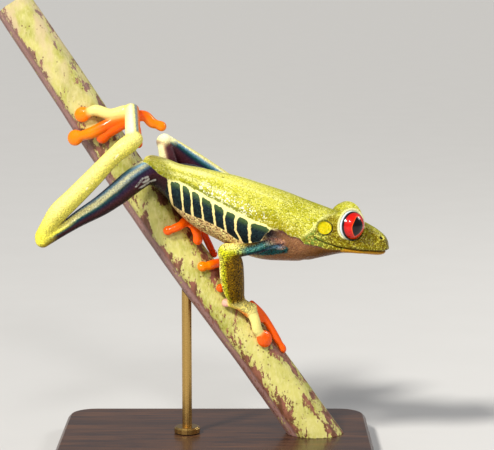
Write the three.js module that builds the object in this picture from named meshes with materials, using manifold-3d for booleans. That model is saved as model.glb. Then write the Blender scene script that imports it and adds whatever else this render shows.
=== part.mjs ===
// Red-eyed tree frog, life size, clinging with its head down the slope to a cut length of plant stem,
// which a plain stand holds up. Millimetres, +Z up. The head points along +X, the frog's right side is
// towards -Y, and the origin is the centre of the stand's underside.
import * as THREE from 'three';
import { mergeVertices } from 'three/addons/utils/BufferGeometryUtils.js';
import Module from 'manifold-3d';

const wasm = await Module();
wasm.setup();

// ---- driving sizes -------------------------------------------------------------------------------
const gap = 0.3; // clearance left where one piece meets the next
const bodySides = 20;
const bodyStep = 3.4; // longest stretch between two rings of the body
const limbSides = 9;
const digitSides = 7;

const midY = -5.5; // the frog's plane of symmetry, in front of the stem's axis
const waistX = -8.5; // where the trunk meets the pelvis
const neckX = 20.6; // where the trunk meets the head

const eye = { x: 31.8, off: 5.7, z: 58.1, radius: 3.5, socket: 3.7, lid: 4.2, rim: 0.7, opening: 3.5 };
const gaze = new THREE.Vector3(0.602, 0.797, 0.03).normalize(); // of the left eye; the right mirrors it
const eardrum = { x: 25.9, off: 7.1, z: 57.6, lean: 0.45, radius: 1.75, thick: 0.6, recess: 0.9 };

const base = { wide: 76, deep: 52, thick: 5, corner: 6, bevel: 0.8 };
const rod = { x: -7, radius: 1.2, foot: 3.2, footThick: 1.4, chamfer: 0.4, reach: 56 };
const stemRadius = { top: 4.55, foot: 5.75 };

const green = 0xb9c62a;
const purple = 0x3a3050;
const orange = 0xf4661c;

// ---- closed solids -------------------------------------------------------------------------------

// Turns a closed geometry into a solid that can be cut and joined.
function solidOf(geometry) {
  const bare = (geometry.index ? geometry.toNonIndexed() : geometry).clone();
  bare.deleteAttribute('normal');
  bare.deleteAttribute('uv');
  const merged = mergeVertices(bare, 1e-4);
  return new wasm.Manifold(new wasm.Mesh({
    numProp: 3,
    vertProperties: merged.attributes.position.array,
    triVerts: new Uint32Array(merged.index.array),
  }));
}

function geometryOf(solid) {
  const mesh = solid.getMesh();
  const geometry = new THREE.BufferGeometry();
  geometry.setAttribute('position', new THREE.BufferAttribute(mesh.vertProperties, 3));
  geometry.setIndex(new THREE.BufferAttribute(mesh.triVerts, 1));
  return geometry;
}

// Skins a row of rings, each with the same number of points, and closes it to a point at each end.
function skinRings(rings, first, last) {
  const sides = rings[0].length;
  const points = [first, ...rings.flat(), last];
  const faces = [];
  const end = points.length - 1;
  const at = (ring, i) => 1 + ring * sides + (i % sides);
  for (let i = 0; i < sides; i++) {
    faces.push(0, at(0, i + 1), at(0, i));
    for (let r = 0; r + 1 < rings.length; r++) {
      faces.push(at(r, i), at(r, i + 1), at(r + 1, i + 1));
      faces.push(at(r, i), at(r + 1, i + 1), at(r + 1, i));
    }
    faces.push(end, at(rings.length - 1, i), at(rings.length - 1, i + 1));
  }
  const geometry = new THREE.BufferGeometry().setFromPoints(points);
  geometry.setIndex(faces);
  const solid = solidOf(geometry);
  if (solid.volume() > 0) return solid;
  for (let i = 0; i < faces.length; i += 3) [faces[i], faces[i + 1]] = [faces[i + 1], faces[i]];
  geometry.setIndex(faces);
  return solidOf(geometry);
}

// A limb: an oval section swept through stations [x, y, z, half width, half thickness], with round ends.
// The thickness lies along the direction called flat.
function limb(stations, { flat = [0, 1, 0], sides = limbSides, grow = 0 } = {}) {
  const centres = stations.map((s) => new THREE.Vector3(...s));
  const line = new THREE.CatmullRomCurve3(centres, false, 'centripetal');
  const last = stations.length - 1;
  const flatWay = new THREE.Vector3(...flat).normalize();
  const smallest = (i) => Math.min(...stations[i].slice(3)) + grow;
  const ring = (i, ahead, shrink) => {
    const way = line.getTangent(i / last);
    const up = flatWay.clone().addScaledVector(way, -flatWay.dot(way)).normalize();
    const across = new THREE.Vector3().crossVectors(up, way);
    const centre = centres[i].clone().addScaledVector(way, ahead * smallest(i));
    const [wide, thick] = stations[i].slice(3).map((half) => (half + grow) * shrink);
    return Array.from({ length: sides }, (_, k) => {
      const turn = (2 * Math.PI * k) / sides;
      return centre.clone().addScaledVector(across, wide * Math.cos(turn))
        .addScaledVector(up, thick * Math.sin(turn));
    });
  };
  const capTurn = Math.PI / 4; // one ring half way round each end
  const rings = stations.map((_, i) => ring(i, 0, 1));
  rings.unshift(ring(0, -Math.sin(capTurn), Math.cos(capTurn)));
  rings.push(ring(last, Math.sin(capTurn), Math.cos(capTurn)));
  const tip = (i, sense) =>
    centres[i].clone().addScaledVector(line.getTangent(i / last), sense * smallest(i));
  return skinRings(rings, tip(0, -1), tip(last, 1));
}

// Smooth value between the rows of a table whose first column is x.
function smoothValue(rows, column, x) {
  let i = 0;
  while (i < rows.length - 2 && x > rows[i + 1][0]) i++;
  const slope = (a, b) => (rows[b][column] - rows[a][column]) / (rows[b][0] - rows[a][0]);
  const before = Math.max(i - 1, 0);
  const after = Math.min(i + 2, rows.length - 1);
  const step = rows[i + 1][0] - rows[i][0];
  const t = THREE.MathUtils.clamp((x - rows[i][0]) / step, 0, 1);
  const h = [2 * t ** 3 - 3 * t ** 2 + 1, t ** 3 - 2 * t ** 2 + t, 3 * t ** 2 - 2 * t ** 3, t ** 3 - t ** 2];
  return h[0] * rows[i][column] + h[1] * step * slope(before, i + 1)
    + h[2] * rows[i + 1][column] + h[3] * step * slope(i, after);
}

// Keeps the largest body of what is left of a solid after others, grown by the gap, are cut away.
function clearOf(solid, ...others) {
  const left = others.reduce((s, other) => s.subtract(other), solid).decompose();
  return left.sort((a, b) => b.volume() - a.volume())[0];
}

function ball(centre, radius, across = 14, down = 9) {
  return solidOf(new THREE.SphereGeometry(radius, across, down).translate(...centre));
}

// A round bar from a point, along a direction.
function bar(from, way, length, radius, sides = 20) {
  const geometry = new THREE.CylinderGeometry(radius, radius, length, sides).translate(0, length / 2, 0);
  geometry.applyQuaternion(new THREE.Quaternion().setFromUnitVectors(new THREE.Vector3(0, 1, 0), way));
  return solidOf(geometry.translate(...from));
}

// An outline in the XZ plane, run through the whole depth of the frog.
function curtain(points) {
  const depth = 60;
  const geometry = new THREE.ExtrudeGeometry(new THREE.Shape(points.map((p) => new THREE.Vector2(...p))),
    { depth, bevelEnabled: false });
  return solidOf(geometry.rotateX(Math.PI / 2).translate(0, midY + depth / 2, 0));
}

// ---- head and body -------------------------------------------------------------------------------

// x, top, underside, half width, height where the section is widest
const bodyRows = [
  [-16.9, 72.4, 69.6, 0.8, 71.0],
  [-16.2, 73.1, 68.4, 2.6, 70.7],
  [-14.6, 73.5, 66.9, 4.0, 69.9],
  [-11.6, 72.9, 64.0, 5.0, 67.9],
  [-8.5, 72.0, 60.2, 5.9, 65.4],
  [-4.0, 71.2, 56.6, 7.0, 62.8],
  [1.2, 70.1, 53.8, 8.1, 60.6],
  [6.0, 69.0, 51.0, 8.6, 58.8],
  [11.0, 67.4, 49.4, 8.6, 57.2],
  [16.8, 65.3, 48.9, 8.4, 55.8],
  [21.4, 63.4, 48.8, 8.6, 54.6],
  [26.2, 61.6, 49.6, 8.9, 53.6],
  [30.0, 60.4, 50.4, 8.4, 53.2],
  [34.0, 59.0, 50.6, 7.1, 52.9],
  [37.6, 57.2, 50.5, 5.2, 52.6],
  [39.9, 55.5, 50.6, 3.7, 52.3],
  [41.0, 54.0, 51.0, 2.4, 52.2],
  [41.5, 52.9, 51.7, 0.9, 52.2],
];
// 2 is an oval section, more is squarer: the head slopes in more than the trunk above its widest height.
const squareness = { trunk: 2.25, head: 1.8, belly: 2.4, change: [14, 26] };

function bodyWhole(grow = 0) {
  const stations = [];
  for (let i = 0; i + 1 < bodyRows.length; i++) {
    const [from, to] = [bodyRows[i][0], bodyRows[i + 1][0]];
    const parts = Math.ceil((to - from) / bodyStep);
    for (let k = 0; k < parts; k++) stations.push(THREE.MathUtils.lerp(from, to, k / parts));
  }
  const [tail, nose] = [bodyRows[0][0], bodyRows.at(-1)[0]];
  stations.push(nose);
  const rings = stations.map((x) => {
    const [top, underside, halfWide, widest] = [1, 2, 3, 4].map((column) => smoothValue(bodyRows, column, x));
    const headShare = THREE.MathUtils.smoothstep(x, ...squareness.change);
    const above = THREE.MathUtils.lerp(squareness.trunk, squareness.head, headShare);
    return Array.from({ length: bodySides }, (_, i) => {
      const turn = (2 * Math.PI * i) / bodySides;
      const [c, s] = [Math.cos(turn), Math.sin(turn)];
      const power = s > 0 ? above : squareness.belly;
      const reach = (Math.abs(c) ** power + Math.abs(s) ** power) ** (-1 / power);
      const halfHigh = (s > 0 ? top - widest : widest - underside) + grow;
      return new THREE.Vector3(x, midY + (halfWide + grow) * reach * c, widest + halfHigh * reach * s);
    });
  });
  return skinRings(rings, new THREE.Vector3(tail - 0.3 - grow, midY, bodyRows[0][4]),
    new THREE.Vector3(nose + 0.15 + grow, midY, bodyRows.at(-1)[4]));
}

// The mouth, from the snout back to its corner and down to the throat, as an outline below it.
const mouthLine = [[44, 51.9], [40.6, 51.9], [36, 52.3], [31.8, 52.5], [29.7, 52.8], [27.6, 53.4],
  [25.5, 54.3], [24.2, 55.0], [23.4, 55.6], [20.0, 54.6]];
const belowMouth = (lower) => curtain([...mouthLine.map(([x, z]) => [x, z - lower]), [20.0, 40], [44, 40]]);
const slab = (from, to) => curtain([[from, 30], [to, 30], [to, 90], [from, 90]]);

const whole = bodyWhole();
const bodyRoom = bodyWhole(gap);
const eyeAt = (side) => [eye.x, midY + side * eye.off, eye.z];
const gazeOf = (side) => new THREE.Vector3(gaze.x, side * gaze.y, gaze.z);
const drumWay = (side) => new THREE.Vector3(0, side, eardrum.lean).normalize();
const drumAt = (side, deep) => new THREE.Vector3(eardrum.x, midY + side * eardrum.off, eardrum.z)
  .addScaledVector(drumWay(side), -deep).toArray();

// The raised ring of a lid: a dome cut off square to the gaze, just in front of the eye's middle.
function lidDome(side) {
  const rimAt = new THREE.Vector3(...eyeAt(side)).addScaledVector(gazeOf(side), eye.rim);
  return ball(eyeAt(side), eye.lid).subtract(bar(rimAt.toArray(), gazeOf(side), 2 * eye.lid, 1.5 * eye.lid));
}

const skull = whole.intersect(slab(neckX + gap / 2, 50));
let head = skull.add(lidDome(-1)).add(lidDome(1)).subtract(belowMouth(-gap / 2));
for (const side of [-1, 1]) {
  head = head.subtract(ball(eyeAt(side), eye.socket));
  head = head.subtract(bar(eyeAt(side), gazeOf(side), 2 * eye.lid, eye.opening));
  head = head.subtract(bar(drumAt(side, eardrum.recess), drumWay(side), 4, eardrum.radius + gap, 16));
}
const jaw = skull.intersect(belowMouth(gap / 2));
const trunk = whole.intersect(slab(waistX + gap / 2, neckX - gap / 2));
const pelvis = whole.intersect(slab(-30, waistX - gap / 2));

// ---- the stem and its stand ----------------------------------------------------------------------

// The stem's axis, from its upper cut end to below the base's top, where it is cut off level.
const stemLine = [[-48.2, 109.9], [-35.6, 90.9], [-24.2, 73.4], [-7.0, 48.4], [10.0, 25.4], [22.0, 8.4],
  [27.9, 0]];
const stemSides = 18;
const stemSteps = 13;

function stemWhole(grow = 0) {
  const line = new THREE.CatmullRomCurve3(stemLine.map(([x, z]) => new THREE.Vector3(x, 0, z)));
  const depthWay = new THREE.Vector3(0, 1, 0);
  const rings = Array.from({ length: stemSteps + 1 }, (_, i) => {
    const u = i / stemSteps;
    const radius = THREE.MathUtils.lerp(stemRadius.top, stemRadius.foot, u) + grow;
    const across = new THREE.Vector3().crossVectors(line.getTangent(u), depthWay);
    return Array.from({ length: stemSides }, (__, k) => {
      const turn = (2 * Math.PI * k) / stemSides;
      return line.getPoint(u).addScaledVector(across, radius * Math.cos(turn))
        .addScaledVector(depthWay, radius * Math.sin(turn));
    });
  });
  return skinRings(rings, line.getPoint(0), line.getPoint(1));
}
const clearOfBase = base.thick + gap;
const aboveBase = curtain([[-60, clearOfBase], [60, clearOfBase], [60, 130], [-60, 130]]);
const stem = stemWhole().intersect(aboveBase);
const stemRoom = stemWhole(gap);

function roundedPlate({ wide, deep, thick, corner, bevel }) {
  const [w, d] = [wide / 2 - bevel, deep / 2 - bevel];
  const shape = new THREE.Shape();
  shape.moveTo(corner - w, -d);
  shape.lineTo(w - corner, -d).absarc(w - corner, corner - d, corner, -Math.PI / 2, 0);
  shape.lineTo(w, d - corner).absarc(w - corner, d - corner, corner, 0, Math.PI / 2);
  shape.lineTo(corner - w, d).absarc(corner - w, d - corner, corner, Math.PI / 2, Math.PI);
  shape.lineTo(-w, corner - d).absarc(corner - w, corner - d, corner, Math.PI, 1.5 * Math.PI);
  const rounding = { bevelThickness: bevel, bevelSize: bevel, bevelSegments: 1, curveSegments: 4 };
  const geometry = new THREE.ExtrudeGeometry(shape, { depth: thick - 2 * bevel, ...rounding });
  return solidOf(geometry.translate(0, 0, bevel));
}

// The rod is turned in one piece with its foot, and its top is cut to the stem it carries.
function turnedRod() {
  const top = clearOfBase + rod.footThick;
  const profile = [[0, clearOfBase], [rod.foot, clearOfBase], [rod.foot, top - rod.chamfer],
    [rod.foot - rod.chamfer, top], [rod.radius, top], [rod.radius, rod.reach], [0, rod.reach]];
  const geometry = new THREE.LatheGeometry(profile.map((p) => new THREE.Vector2(...p)), 16);
  const pieces = solidOf(geometry.rotateX(Math.PI / 2).translate(rod.x, 0, 0)).subtract(stemRoom).decompose();
  return pieces.sort((a, b) => a.boundingBox().min[2] - b.boundingBox().min[2])[0];
}

// ---- limbs ---------------------------------------------------------------------------------------

// Each bone's flesh as stations [x, y, z, half width, half thickness], from the body outwards.
const bones = {
  right: {
    leg: {
      thigh: [[-11.5, -8.2, 69.3, 2.3, 2.6], [-15.2, -10.0, 68.6, 2.7, 2.6], [-18.6, -12.0, 67.7, 2.9, 2.8],
        [-22.7, -13.9, 65.4, 2.6, 2.6], [-26.6, -15.5, 63.2, 2.35, 2.4], [-31.1, -17.2, 60.7, 1.9, 2.1],
        [-35.2, -18.4, 58.1, 1.5, 1.8], [-39.7, -19.0, 55.7, 1.75, 1.7]],
      shank: [[-39.6, -19.0, 56.8, 1.8, 1.8], [-37.9, -19.4, 59.7, 1.9, 2.0], [-35.9, -19.6, 62.3, 2.3, 2.2],
        [-32.3, -19.5, 65.8, 2.25, 2.1], [-27.7, -19.2, 70.4, 2.15, 2.0], [-23.2, -18.9, 75.1, 1.9, 1.85],
        [-18.6, -18.4, 79.0, 1.85, 1.8]],
      tarsus: [[-18.8, -17.6, 79.4, 1.6, 1.6], [-19.1, -14.2, 81.4, 1.45, 1.4],
        [-19.4, -10.4, 83.4, 1.4, 1.35], [-19.7, -6.8, 85.0, 1.5, 1.35]],
      foot: [[-19.9, -6.6, 85.0, 1.4, 1.3], [-21.4, -6.5, 83.6, 1.9, 0.9], [-24.2, -6.9, 82.6, 2.3, 0.5]],
    },
    arm: {
      upper_arm: [[16.4, -11.8, 54.3, 2.1, 2.1], [13.6, -13.1, 54.2, 1.5, 1.7],
        [10.3, -13.7, 53.2, 1.35, 1.6], [7.2, -13.8, 52.7, 1.5, 1.7], [2.9, -12.8, 52.1, 1.9, 1.9]],
      forearm: [[3.1, -12.4, 51.6, 2.2, 2.0], [3.9, -11.6, 49.4, 2.75, 2.3], [4.1, -10.4, 46.3, 2.9, 2.4],
        [4.5, -8.9, 42.7, 2.6, 2.1], [5.0, -7.6, 40.2, 2.1, 1.6]],
      hand: [[5.3, -7.2, 39.3, 1.7, 1.4], [6.9, -6.3, 37.8, 1.6, 1.3], [8.6, -5.5, 36.6, 1.9, 1.2]],
    },
  },
  left: {
    leg: {
      thigh: [[-10.6, -2.4, 68.0, 2.6, 2.6], [-5.5, 3.2, 66.9, 3.0, 2.8], [-0.4, 8.2, 65.4, 2.8, 2.6],
        [5.2, 13.4, 63.4, 2.1, 2.1], [10.0, 18.2, 61.3, 1.6, 1.8], [12.4, 20.4, 60.2, 1.75, 1.75]],
      shank: [[12.3, 20.5, 60.6, 1.8, 1.8], [7.5, 18.8, 63.8, 2.0, 2.0], [1.4, 16.2, 67.7, 2.2, 2.1],
        [-4.0, 13.6, 71.3, 2.15, 2.1], [-8.8, 11.3, 74.4, 1.9, 1.9], [-12.7, 9.5, 76.4, 1.8, 1.8]],
      tarsus: [[-12.6, 9.4, 75.6, 1.6, 1.6], [-12.2, 7.4, 72.6, 1.45, 1.4], [-11.0, 5.2, 68.6, 1.4, 1.35],
        [-9.2, 3.4, 63.4, 1.45, 1.3]],
      foot: [[-9.0, 3.0, 62.8, 1.4, 1.2], [-7.8, 1.0, 60.4, 1.6, 0.9], [-6.4, -1.4, 58.8, 1.8, 0.6]],
    },
    arm: {
      upper_arm: [[16.2, 0.8, 54.2, 2.1, 2.1], [12.8, 4.4, 54.4, 1.5, 1.6], [9.4, 8.6, 54.2, 1.5, 1.7],
        [6.6, 11.6, 54.0, 1.9, 1.9]],
      forearm: [[6.3, 11.8, 53.6, 1.9, 1.9], [5.1, 9.0, 51.2, 2.4, 2.1], [4.4, 6.2, 48.7, 2.2, 1.9],
        [3.8, 3.8, 46.6, 1.7, 1.4]],
      hand: [[3.7, 3.2, 46.2, 1.5, 1.3], [3.0, 1.4, 45.9, 1.7, 1.0]],
    },
  },
};

// Each digit by its line, its half width, its pad's half width, and the way its pad's back faces.
const toeWidth = 1.0;
const fingerWidth = 0.95;
const digits = {
  right: {
    toe: [
      { pad: 1.2, back: [0.6, -0.7, 0.4],
        line: [[-18.4, -5.2, 83.5], [-16.4, -4.8, 83.1], [-14.9, -4.4, 81.8], [-12.9, -4.0, 80.8]] },
      { pad: 1.1, back: [0.8, -0.4, 0.4],
        line: [[-18.9, -4.8, 82.6], [-17.9, -3.2, 80.0], [-17.8, -2.0, 77.9], [-17.9, -1.4, 76.4]] },
      { pad: 1.4, back: [0, -1, 0.2], line: [[-20.8, -6.2, 82.4], [-23.8, -6.7, 80.2], [-26.9, -6.2, 78.1]] },
      { pad: 1.9, back: [-0.4, -1, 0.1],
        line: [[-21.6, -6.4, 83.4], [-25.2, -6.8, 81.5], [-29.2, -6.2, 79.5], [-33.2, -4.4, 78.2]] },
      { pad: 1.85, back: [-0.1, -1, 0.1],
        line: [[-21.4, -6.6, 84.7], [-24.4, -6.8, 84.3], [-27.9, -6.3, 84.6], [-31.4, -5.3, 83.8]] },
    ],
    finger: [
      { pad: 0.95, back: [0.2, -1, 0.2], line: [[5.0, -7.0, 38.5], [3.8, -6.8, 38.6], [2.6, -6.2, 38.6]] },
      { pad: 1.2, back: [0.8, 0.1, 0.5],
        line: [[8.6, -3.4, 37.5], [10.4, -1.4, 35.2], [11.9, 0.6, 32.9], [12.9, 2.2, 31.0]] },
      { pad: 1.2, back: [0.85, -0.1, 0.5],
        line: [[8.9, -4.0, 37.8], [10.8, -2.7, 35.7], [12.5, -1.9, 33.2], [14.9, -1.2, 28.9],
          [16.3, -0.9, 26.4]] },
      { pad: 2.15, back: [0.45, -0.88, 0.25],
        line: [[8.9, -5.6, 36.1], [9.7, -5.9, 34.1], [10.2, -5.8, 31.9], [11.7, -5.2, 29.7]] },
    ],
  },
  left: {
    toe: [
      { pad: 1.1, back: [0.1, -1, 0.2],
        line: [[-6.9, -3.2, 58.3], [-8.3, -5.3, 57.2], [-9.7, -5.9, 56.6], [-11.2, -6.0, 56.1]] },
      { pad: 1.3, back: [0.6, -0.8, 0.2],
        line: [[-5.9, -2.4, 57.7], [-4.9, -4.0, 56.5], [-4.3, -4.6, 55.2], [-4.1, -4.5, 53.7]] },
      { pad: 0.9, back: [0.8, -0.3, 0.5],
        line: [[-5.2, -0.8, 57.6], [-3.4, 0.8, 55.5], [-2.2, 1.5, 53.0], [-1.2, 1.3, 50.9],
          [-0.4, 0.8, 49.4]] },
      { pad: 1.6, back: [0.3, 1, 0.4],
        line: [[-5.8, 1.6, 58.6], [-4.4, 5.2, 54.9], [-5.4, 6.3, 51.2], [-7.0, 6.2, 48.6]] },
      { pad: 1.5, back: [-0.1, 1, 0.2],
        line: [[-7.4, 2.2, 59.6], [-7.8, 5.8, 56.6], [-9.8, 6.5, 54.3], [-11.8, 6.0, 52.7]] },
    ],
    finger: [
      { pad: 1.1, back: [0.5, 0.8, 0.3], line: [[3.8, 3.4, 45.2], [5.0, 4.9, 42.2], [5.2, 5.4, 39.6]] },
      { pad: 1.2, back: [0.8, 0.3, 0.5], line: [[4.2, 1.8, 44.8], [5.3, 2.0, 42.2], [6.0, 2.2, 40.0]] },
      { pad: 0.95, back: [0.3, -0.9, 0.2],
        line: [[3.7, 0.2, 44.9], [3.8, -2.8, 43.7], [2.9, -4.9, 42.7], [1.3, -5.8, 42.1]] },
      { pad: 1.2, back: [0.1, -1, 0.2],
        line: [[2.6, 0.8, 46.9], [0.6, -2.8, 47.7], [-1.4, -5.1, 47.5], [-3.0, -6.0, 47.4]] },
    ],
  },
};

// A digit narrows a little towards its round pad, which is flat against what it holds.
function digitSolid({ line, pad, back }, width, grow = 0) {
  const thick = 0.78 * width;
  const padThick = 0.65 + 0.06 * pad;
  const tip = new THREE.Vector3(...line.at(-1));
  const way = tip.clone().sub(new THREE.Vector3(...line.at(-2))).normalize();
  const stations = line.slice(0, -1).map((p, i) => [...p, width * (i ? 0.9 : 1.15), thick]);
  for (const [ahead, share] of [[-0.75, 0.72], [0, 1], [0.5, 0.78]]) {
    stations.push([...tip.clone().addScaledVector(way, ahead * pad).toArray(), share * pad, padThick]);
  }
  return limb(stations, { flat: back, sides: digitSides, grow });
}

// ---- the model -----------------------------------------------------------------------------------

const frog = new THREE.Group();
function place(name, solid, colour, roughness = 0.5, metalness = 0) {
  const look = new THREE.MeshStandardMaterial({ color: colour, roughness, metalness });
  const mesh = new THREE.Mesh(geometryOf(solid), look);
  mesh.name = name;
  frog.add(mesh);
}

place('head', head, green);
place('lower_jaw', jaw, 0xd9b070);
place('trunk', trunk, green);
place('pelvis', pelvis, green);
for (const [name, side] of [['right', -1], ['left', 1]]) {
  const drum = bar(drumAt(side, eardrum.recess - gap), drumWay(side), eardrum.thick, eardrum.radius, 16);
  place(`eye_${name}`, ball(eyeAt(side), eye.radius), 0xd8201a, 0.1);
  place(`eardrum_${name}`, drum, 0xd2c41e);
}

// Each piece is cut clear of the one it grows from, and each digit of the digits before it.
for (const side of ['right', 'left']) {
  for (const [limbName, digitName, width] of [['leg', 'toe', toeWidth], ['arm', 'finger', fingerWidth]]) {
    let behind = [bodyRoom];
    for (const [name, stations] of Object.entries(bones[side][limbName])) {
      const flesh = clearOf(limb(stations), ...behind, stemRoom);
      place(`${name}_${side}`, flesh, ['thigh', 'upper_arm'].includes(name) ? purple : green);
      behind = [...behind, limb(stations, { grow: gap })];
    }
    digits[side][digitName].forEach((digit, i) => {
      place(`${digitName}_${side}_${i + 1}`, clearOf(digitSolid(digit, width), ...behind, stemRoom), orange);
      behind.push(digitSolid(digit, width, gap));
    });
  }
}

place('stem', stem, 0xb9bf6a, 0.7);
place('stand_base', roundedPlate(base), 0x3c2a1e, 0.5);
place('stand_rod', turnedRod(), 0xb08d4a, 0.3, 1);

export default frog;
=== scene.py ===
import math

import bmesh
import bpy
import numpy as np
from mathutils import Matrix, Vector


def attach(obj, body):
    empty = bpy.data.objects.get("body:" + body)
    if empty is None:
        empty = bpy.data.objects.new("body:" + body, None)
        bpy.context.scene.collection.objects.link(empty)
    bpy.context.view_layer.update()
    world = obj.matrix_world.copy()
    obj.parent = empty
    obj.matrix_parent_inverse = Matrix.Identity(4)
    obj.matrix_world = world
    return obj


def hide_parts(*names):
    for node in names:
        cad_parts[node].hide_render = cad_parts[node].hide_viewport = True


# A red-eyed tree frog, life size, on a cut stem with a plain stand. The shapes are worked out in
# millimetres, in the frame's own axes: the head points along +X and the frog's right side is -Y.
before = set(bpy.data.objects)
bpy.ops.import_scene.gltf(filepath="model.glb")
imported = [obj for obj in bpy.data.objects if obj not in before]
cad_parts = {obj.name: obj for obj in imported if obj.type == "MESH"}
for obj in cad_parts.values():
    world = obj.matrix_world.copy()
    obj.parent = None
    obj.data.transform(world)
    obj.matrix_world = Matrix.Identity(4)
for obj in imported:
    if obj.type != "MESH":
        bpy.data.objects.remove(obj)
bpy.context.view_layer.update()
print("frame loaded:", len(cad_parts), "nodes")

bpy.context.scene.view_settings.view_transform = "Standard"  # the frog's strong colours stay strong

mm = 0.001
middle = -5.5  # the frog's plane of symmetry
far = 9.0  # a distance that stands for "nowhere near"


def linear(red, green, blue):
    srgb = np.array([red, green, blue], float) / 255
    return np.where(srgb <= 0.04045, srgb / 12.92, ((srgb + 0.055) / 1.055) ** 2.4)


def lookOf(**values):
    # a piece's values, in which every group of three is a colour, 0 to 255
    return {name: linear(*value) if isinstance(value, tuple) else value for name, value in values.items()}


palette = lookOf(
    leaf=(180, 182, 26),
    lemon=(232, 220, 74),
    straw=(234, 220, 130),
    cream=(248, 240, 176),
    milk=(250, 248, 206),
    olive=(124, 92, 4),
    darkOlive=(92, 66, 3),
    sky=(112, 156, 184),
    teal=(22, 82, 82),
    navy=(16, 28, 52),
    maroon=(68, 32, 38),
    purple=(62, 36, 70),
    black=(14, 10, 12),
    orange=(246, 92, 0),
    amber=(252, 128, 2),
    deepOrange=(238, 66, 0),
    pink=(226, 170, 148),
    tan=(150, 104, 76),
    greyBlue=(122, 134, 132),
    steel=(80, 128, 128),
    hay=(216, 206, 88),
)


def ease(low, high, value):
    t = np.clip((value - low) / (high - low), 0, 1)
    return t * t * (3 - 2 * t)


def softMin(a, b, blend):
    h = np.clip(blend - np.abs(a - b), 0, None)
    return np.minimum(a, b) - h * h / (4 * blend)


def softMax(a, b, blend):
    return -softMin(-a, -b, blend)


def unit(vector):
    vector = np.asarray(vector, float)
    return vector / np.linalg.norm(vector)


def smoothRows(rows, at, x):
    # smooth values through the rows, each row taken to lie at the matching number in "at"
    rows = np.asarray(rows, float)
    at = np.asarray(at, float)
    i = np.clip(np.searchsorted(at, x, side="left") - 1, 0, len(at) - 2)
    before = np.maximum(i - 1, 0)
    after = np.minimum(i + 2, len(at) - 1)
    span = at[i + 1] - at[i]
    t = np.clip((x - at[i]) / span, 0, 1)[:, None]
    slopeIn = (rows[i + 1] - rows[before]) * (span / (at[i + 1] - at[before]))[:, None]
    slopeOut = (rows[after] - rows[i]) * (span / (at[after] - at[i]))[:, None]
    return ((2 * t**3 - 3 * t**2 + 1) * rows[i] + (t**3 - 2 * t**2 + t) * slopeIn
            + (3 * t**2 - 2 * t**3) * rows[i + 1] + (t**3 - t**2) * slopeOut)


def smoothLine(rows, pieces):
    # rows that follow a smooth line through the given ones, spaced by the distance between them
    rows = np.asarray(rows, float)
    steps = np.linalg.norm(np.diff(rows[:, :3], axis=0), axis=1)
    at = np.concatenate([[0], np.cumsum(steps)])
    fine = np.concatenate([np.linspace(at[k], at[k + 1], pieces, endpoint=False)
                           for k in range(len(at) - 1)] + [[at[-1]]])
    return smoothRows(rows, at, fine)


def within(points, low, high):
    return np.flatnonzero(np.all((points > low) & (points < high), axis=1))


def near(points, line, reach):
    line = np.asarray(line, np.float32)
    return within(points, line.min(0) - reach, line.max(0) + reach)


def hump(away, wide):
    # 1 at 0, fading away on both sides
    return np.exp(-(away / wide) ** 2)


def ovalDistance(size, steep, deepest):
    return np.where(steep > 1e-4, size * (size - 1) / np.maximum(steep, 1e-4), -deepest)


def lineDistance(points, line):
    # distance to a bent line, and how far along it, 0 to 1, the nearest place is
    line = np.asarray(line, np.float32)
    best = np.full(len(points), 1e6, np.float32)
    along = np.zeros(len(points), np.float32)
    for k in range(len(line) - 1):
        way = line[k + 1] - line[k]
        t = np.clip((points - line[k]) @ way / (way @ way), 0, 1)
        away = np.linalg.norm(points - line[k] - t[:, None] * way, axis=1)
        closer = away < best
        best[closer] = away[closer]
        along[closer] = (k + t[closer]) / (len(line) - 1)
    return best, along


# The trunk and head: x, top, underside, half width, height where the section is widest.
body = {
    "rows": [
        (-17.0, 73.0, 71.6, 0.5, 72.3),
        (-16.3, 73.8, 69.6, 2.3, 71.7),
        (-14.6, 74.1, 67.2, 4.1, 70.4),
        (-11.6, 73.2, 64.2, 5.1, 68.0),
        (-8.5, 72.0, 60.2, 5.9, 65.4),
        (-4.0, 71.2, 56.6, 7.0, 62.8),
        (1.2, 70.1, 53.8, 8.1, 60.6),
        (6.0, 69.0, 51.0, 8.6, 58.8),
        (11.0, 67.4, 49.4, 8.6, 57.2),
        (16.8, 65.5, 49.0, 8.4, 55.8),
        (21.4, 63.7, 49.1, 8.6, 54.6),
        (26.2, 61.9, 50.2, 8.9, 53.8),
        (30.0, 60.5, 51.0, 8.4, 53.5),
        (34.0, 59.0, 50.95, 7.1, 53.0),
        (37.6, 57.2, 50.5, 5.2, 52.5),
        (39.9, 55.6, 50.35, 3.75, 52.3),
        (41.0, 54.4, 50.6, 2.6, 52.3),
        (41.5, 53.3, 51.1, 1.2, 52.2),
    ],
    "trunkPower": 2.25,  # 2 is an oval section, more is squarer
    "headPower": 1.8,
    "bellyPower": 2.4,
    "headFrom": 14,
    "headTo": 26,
}

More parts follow.
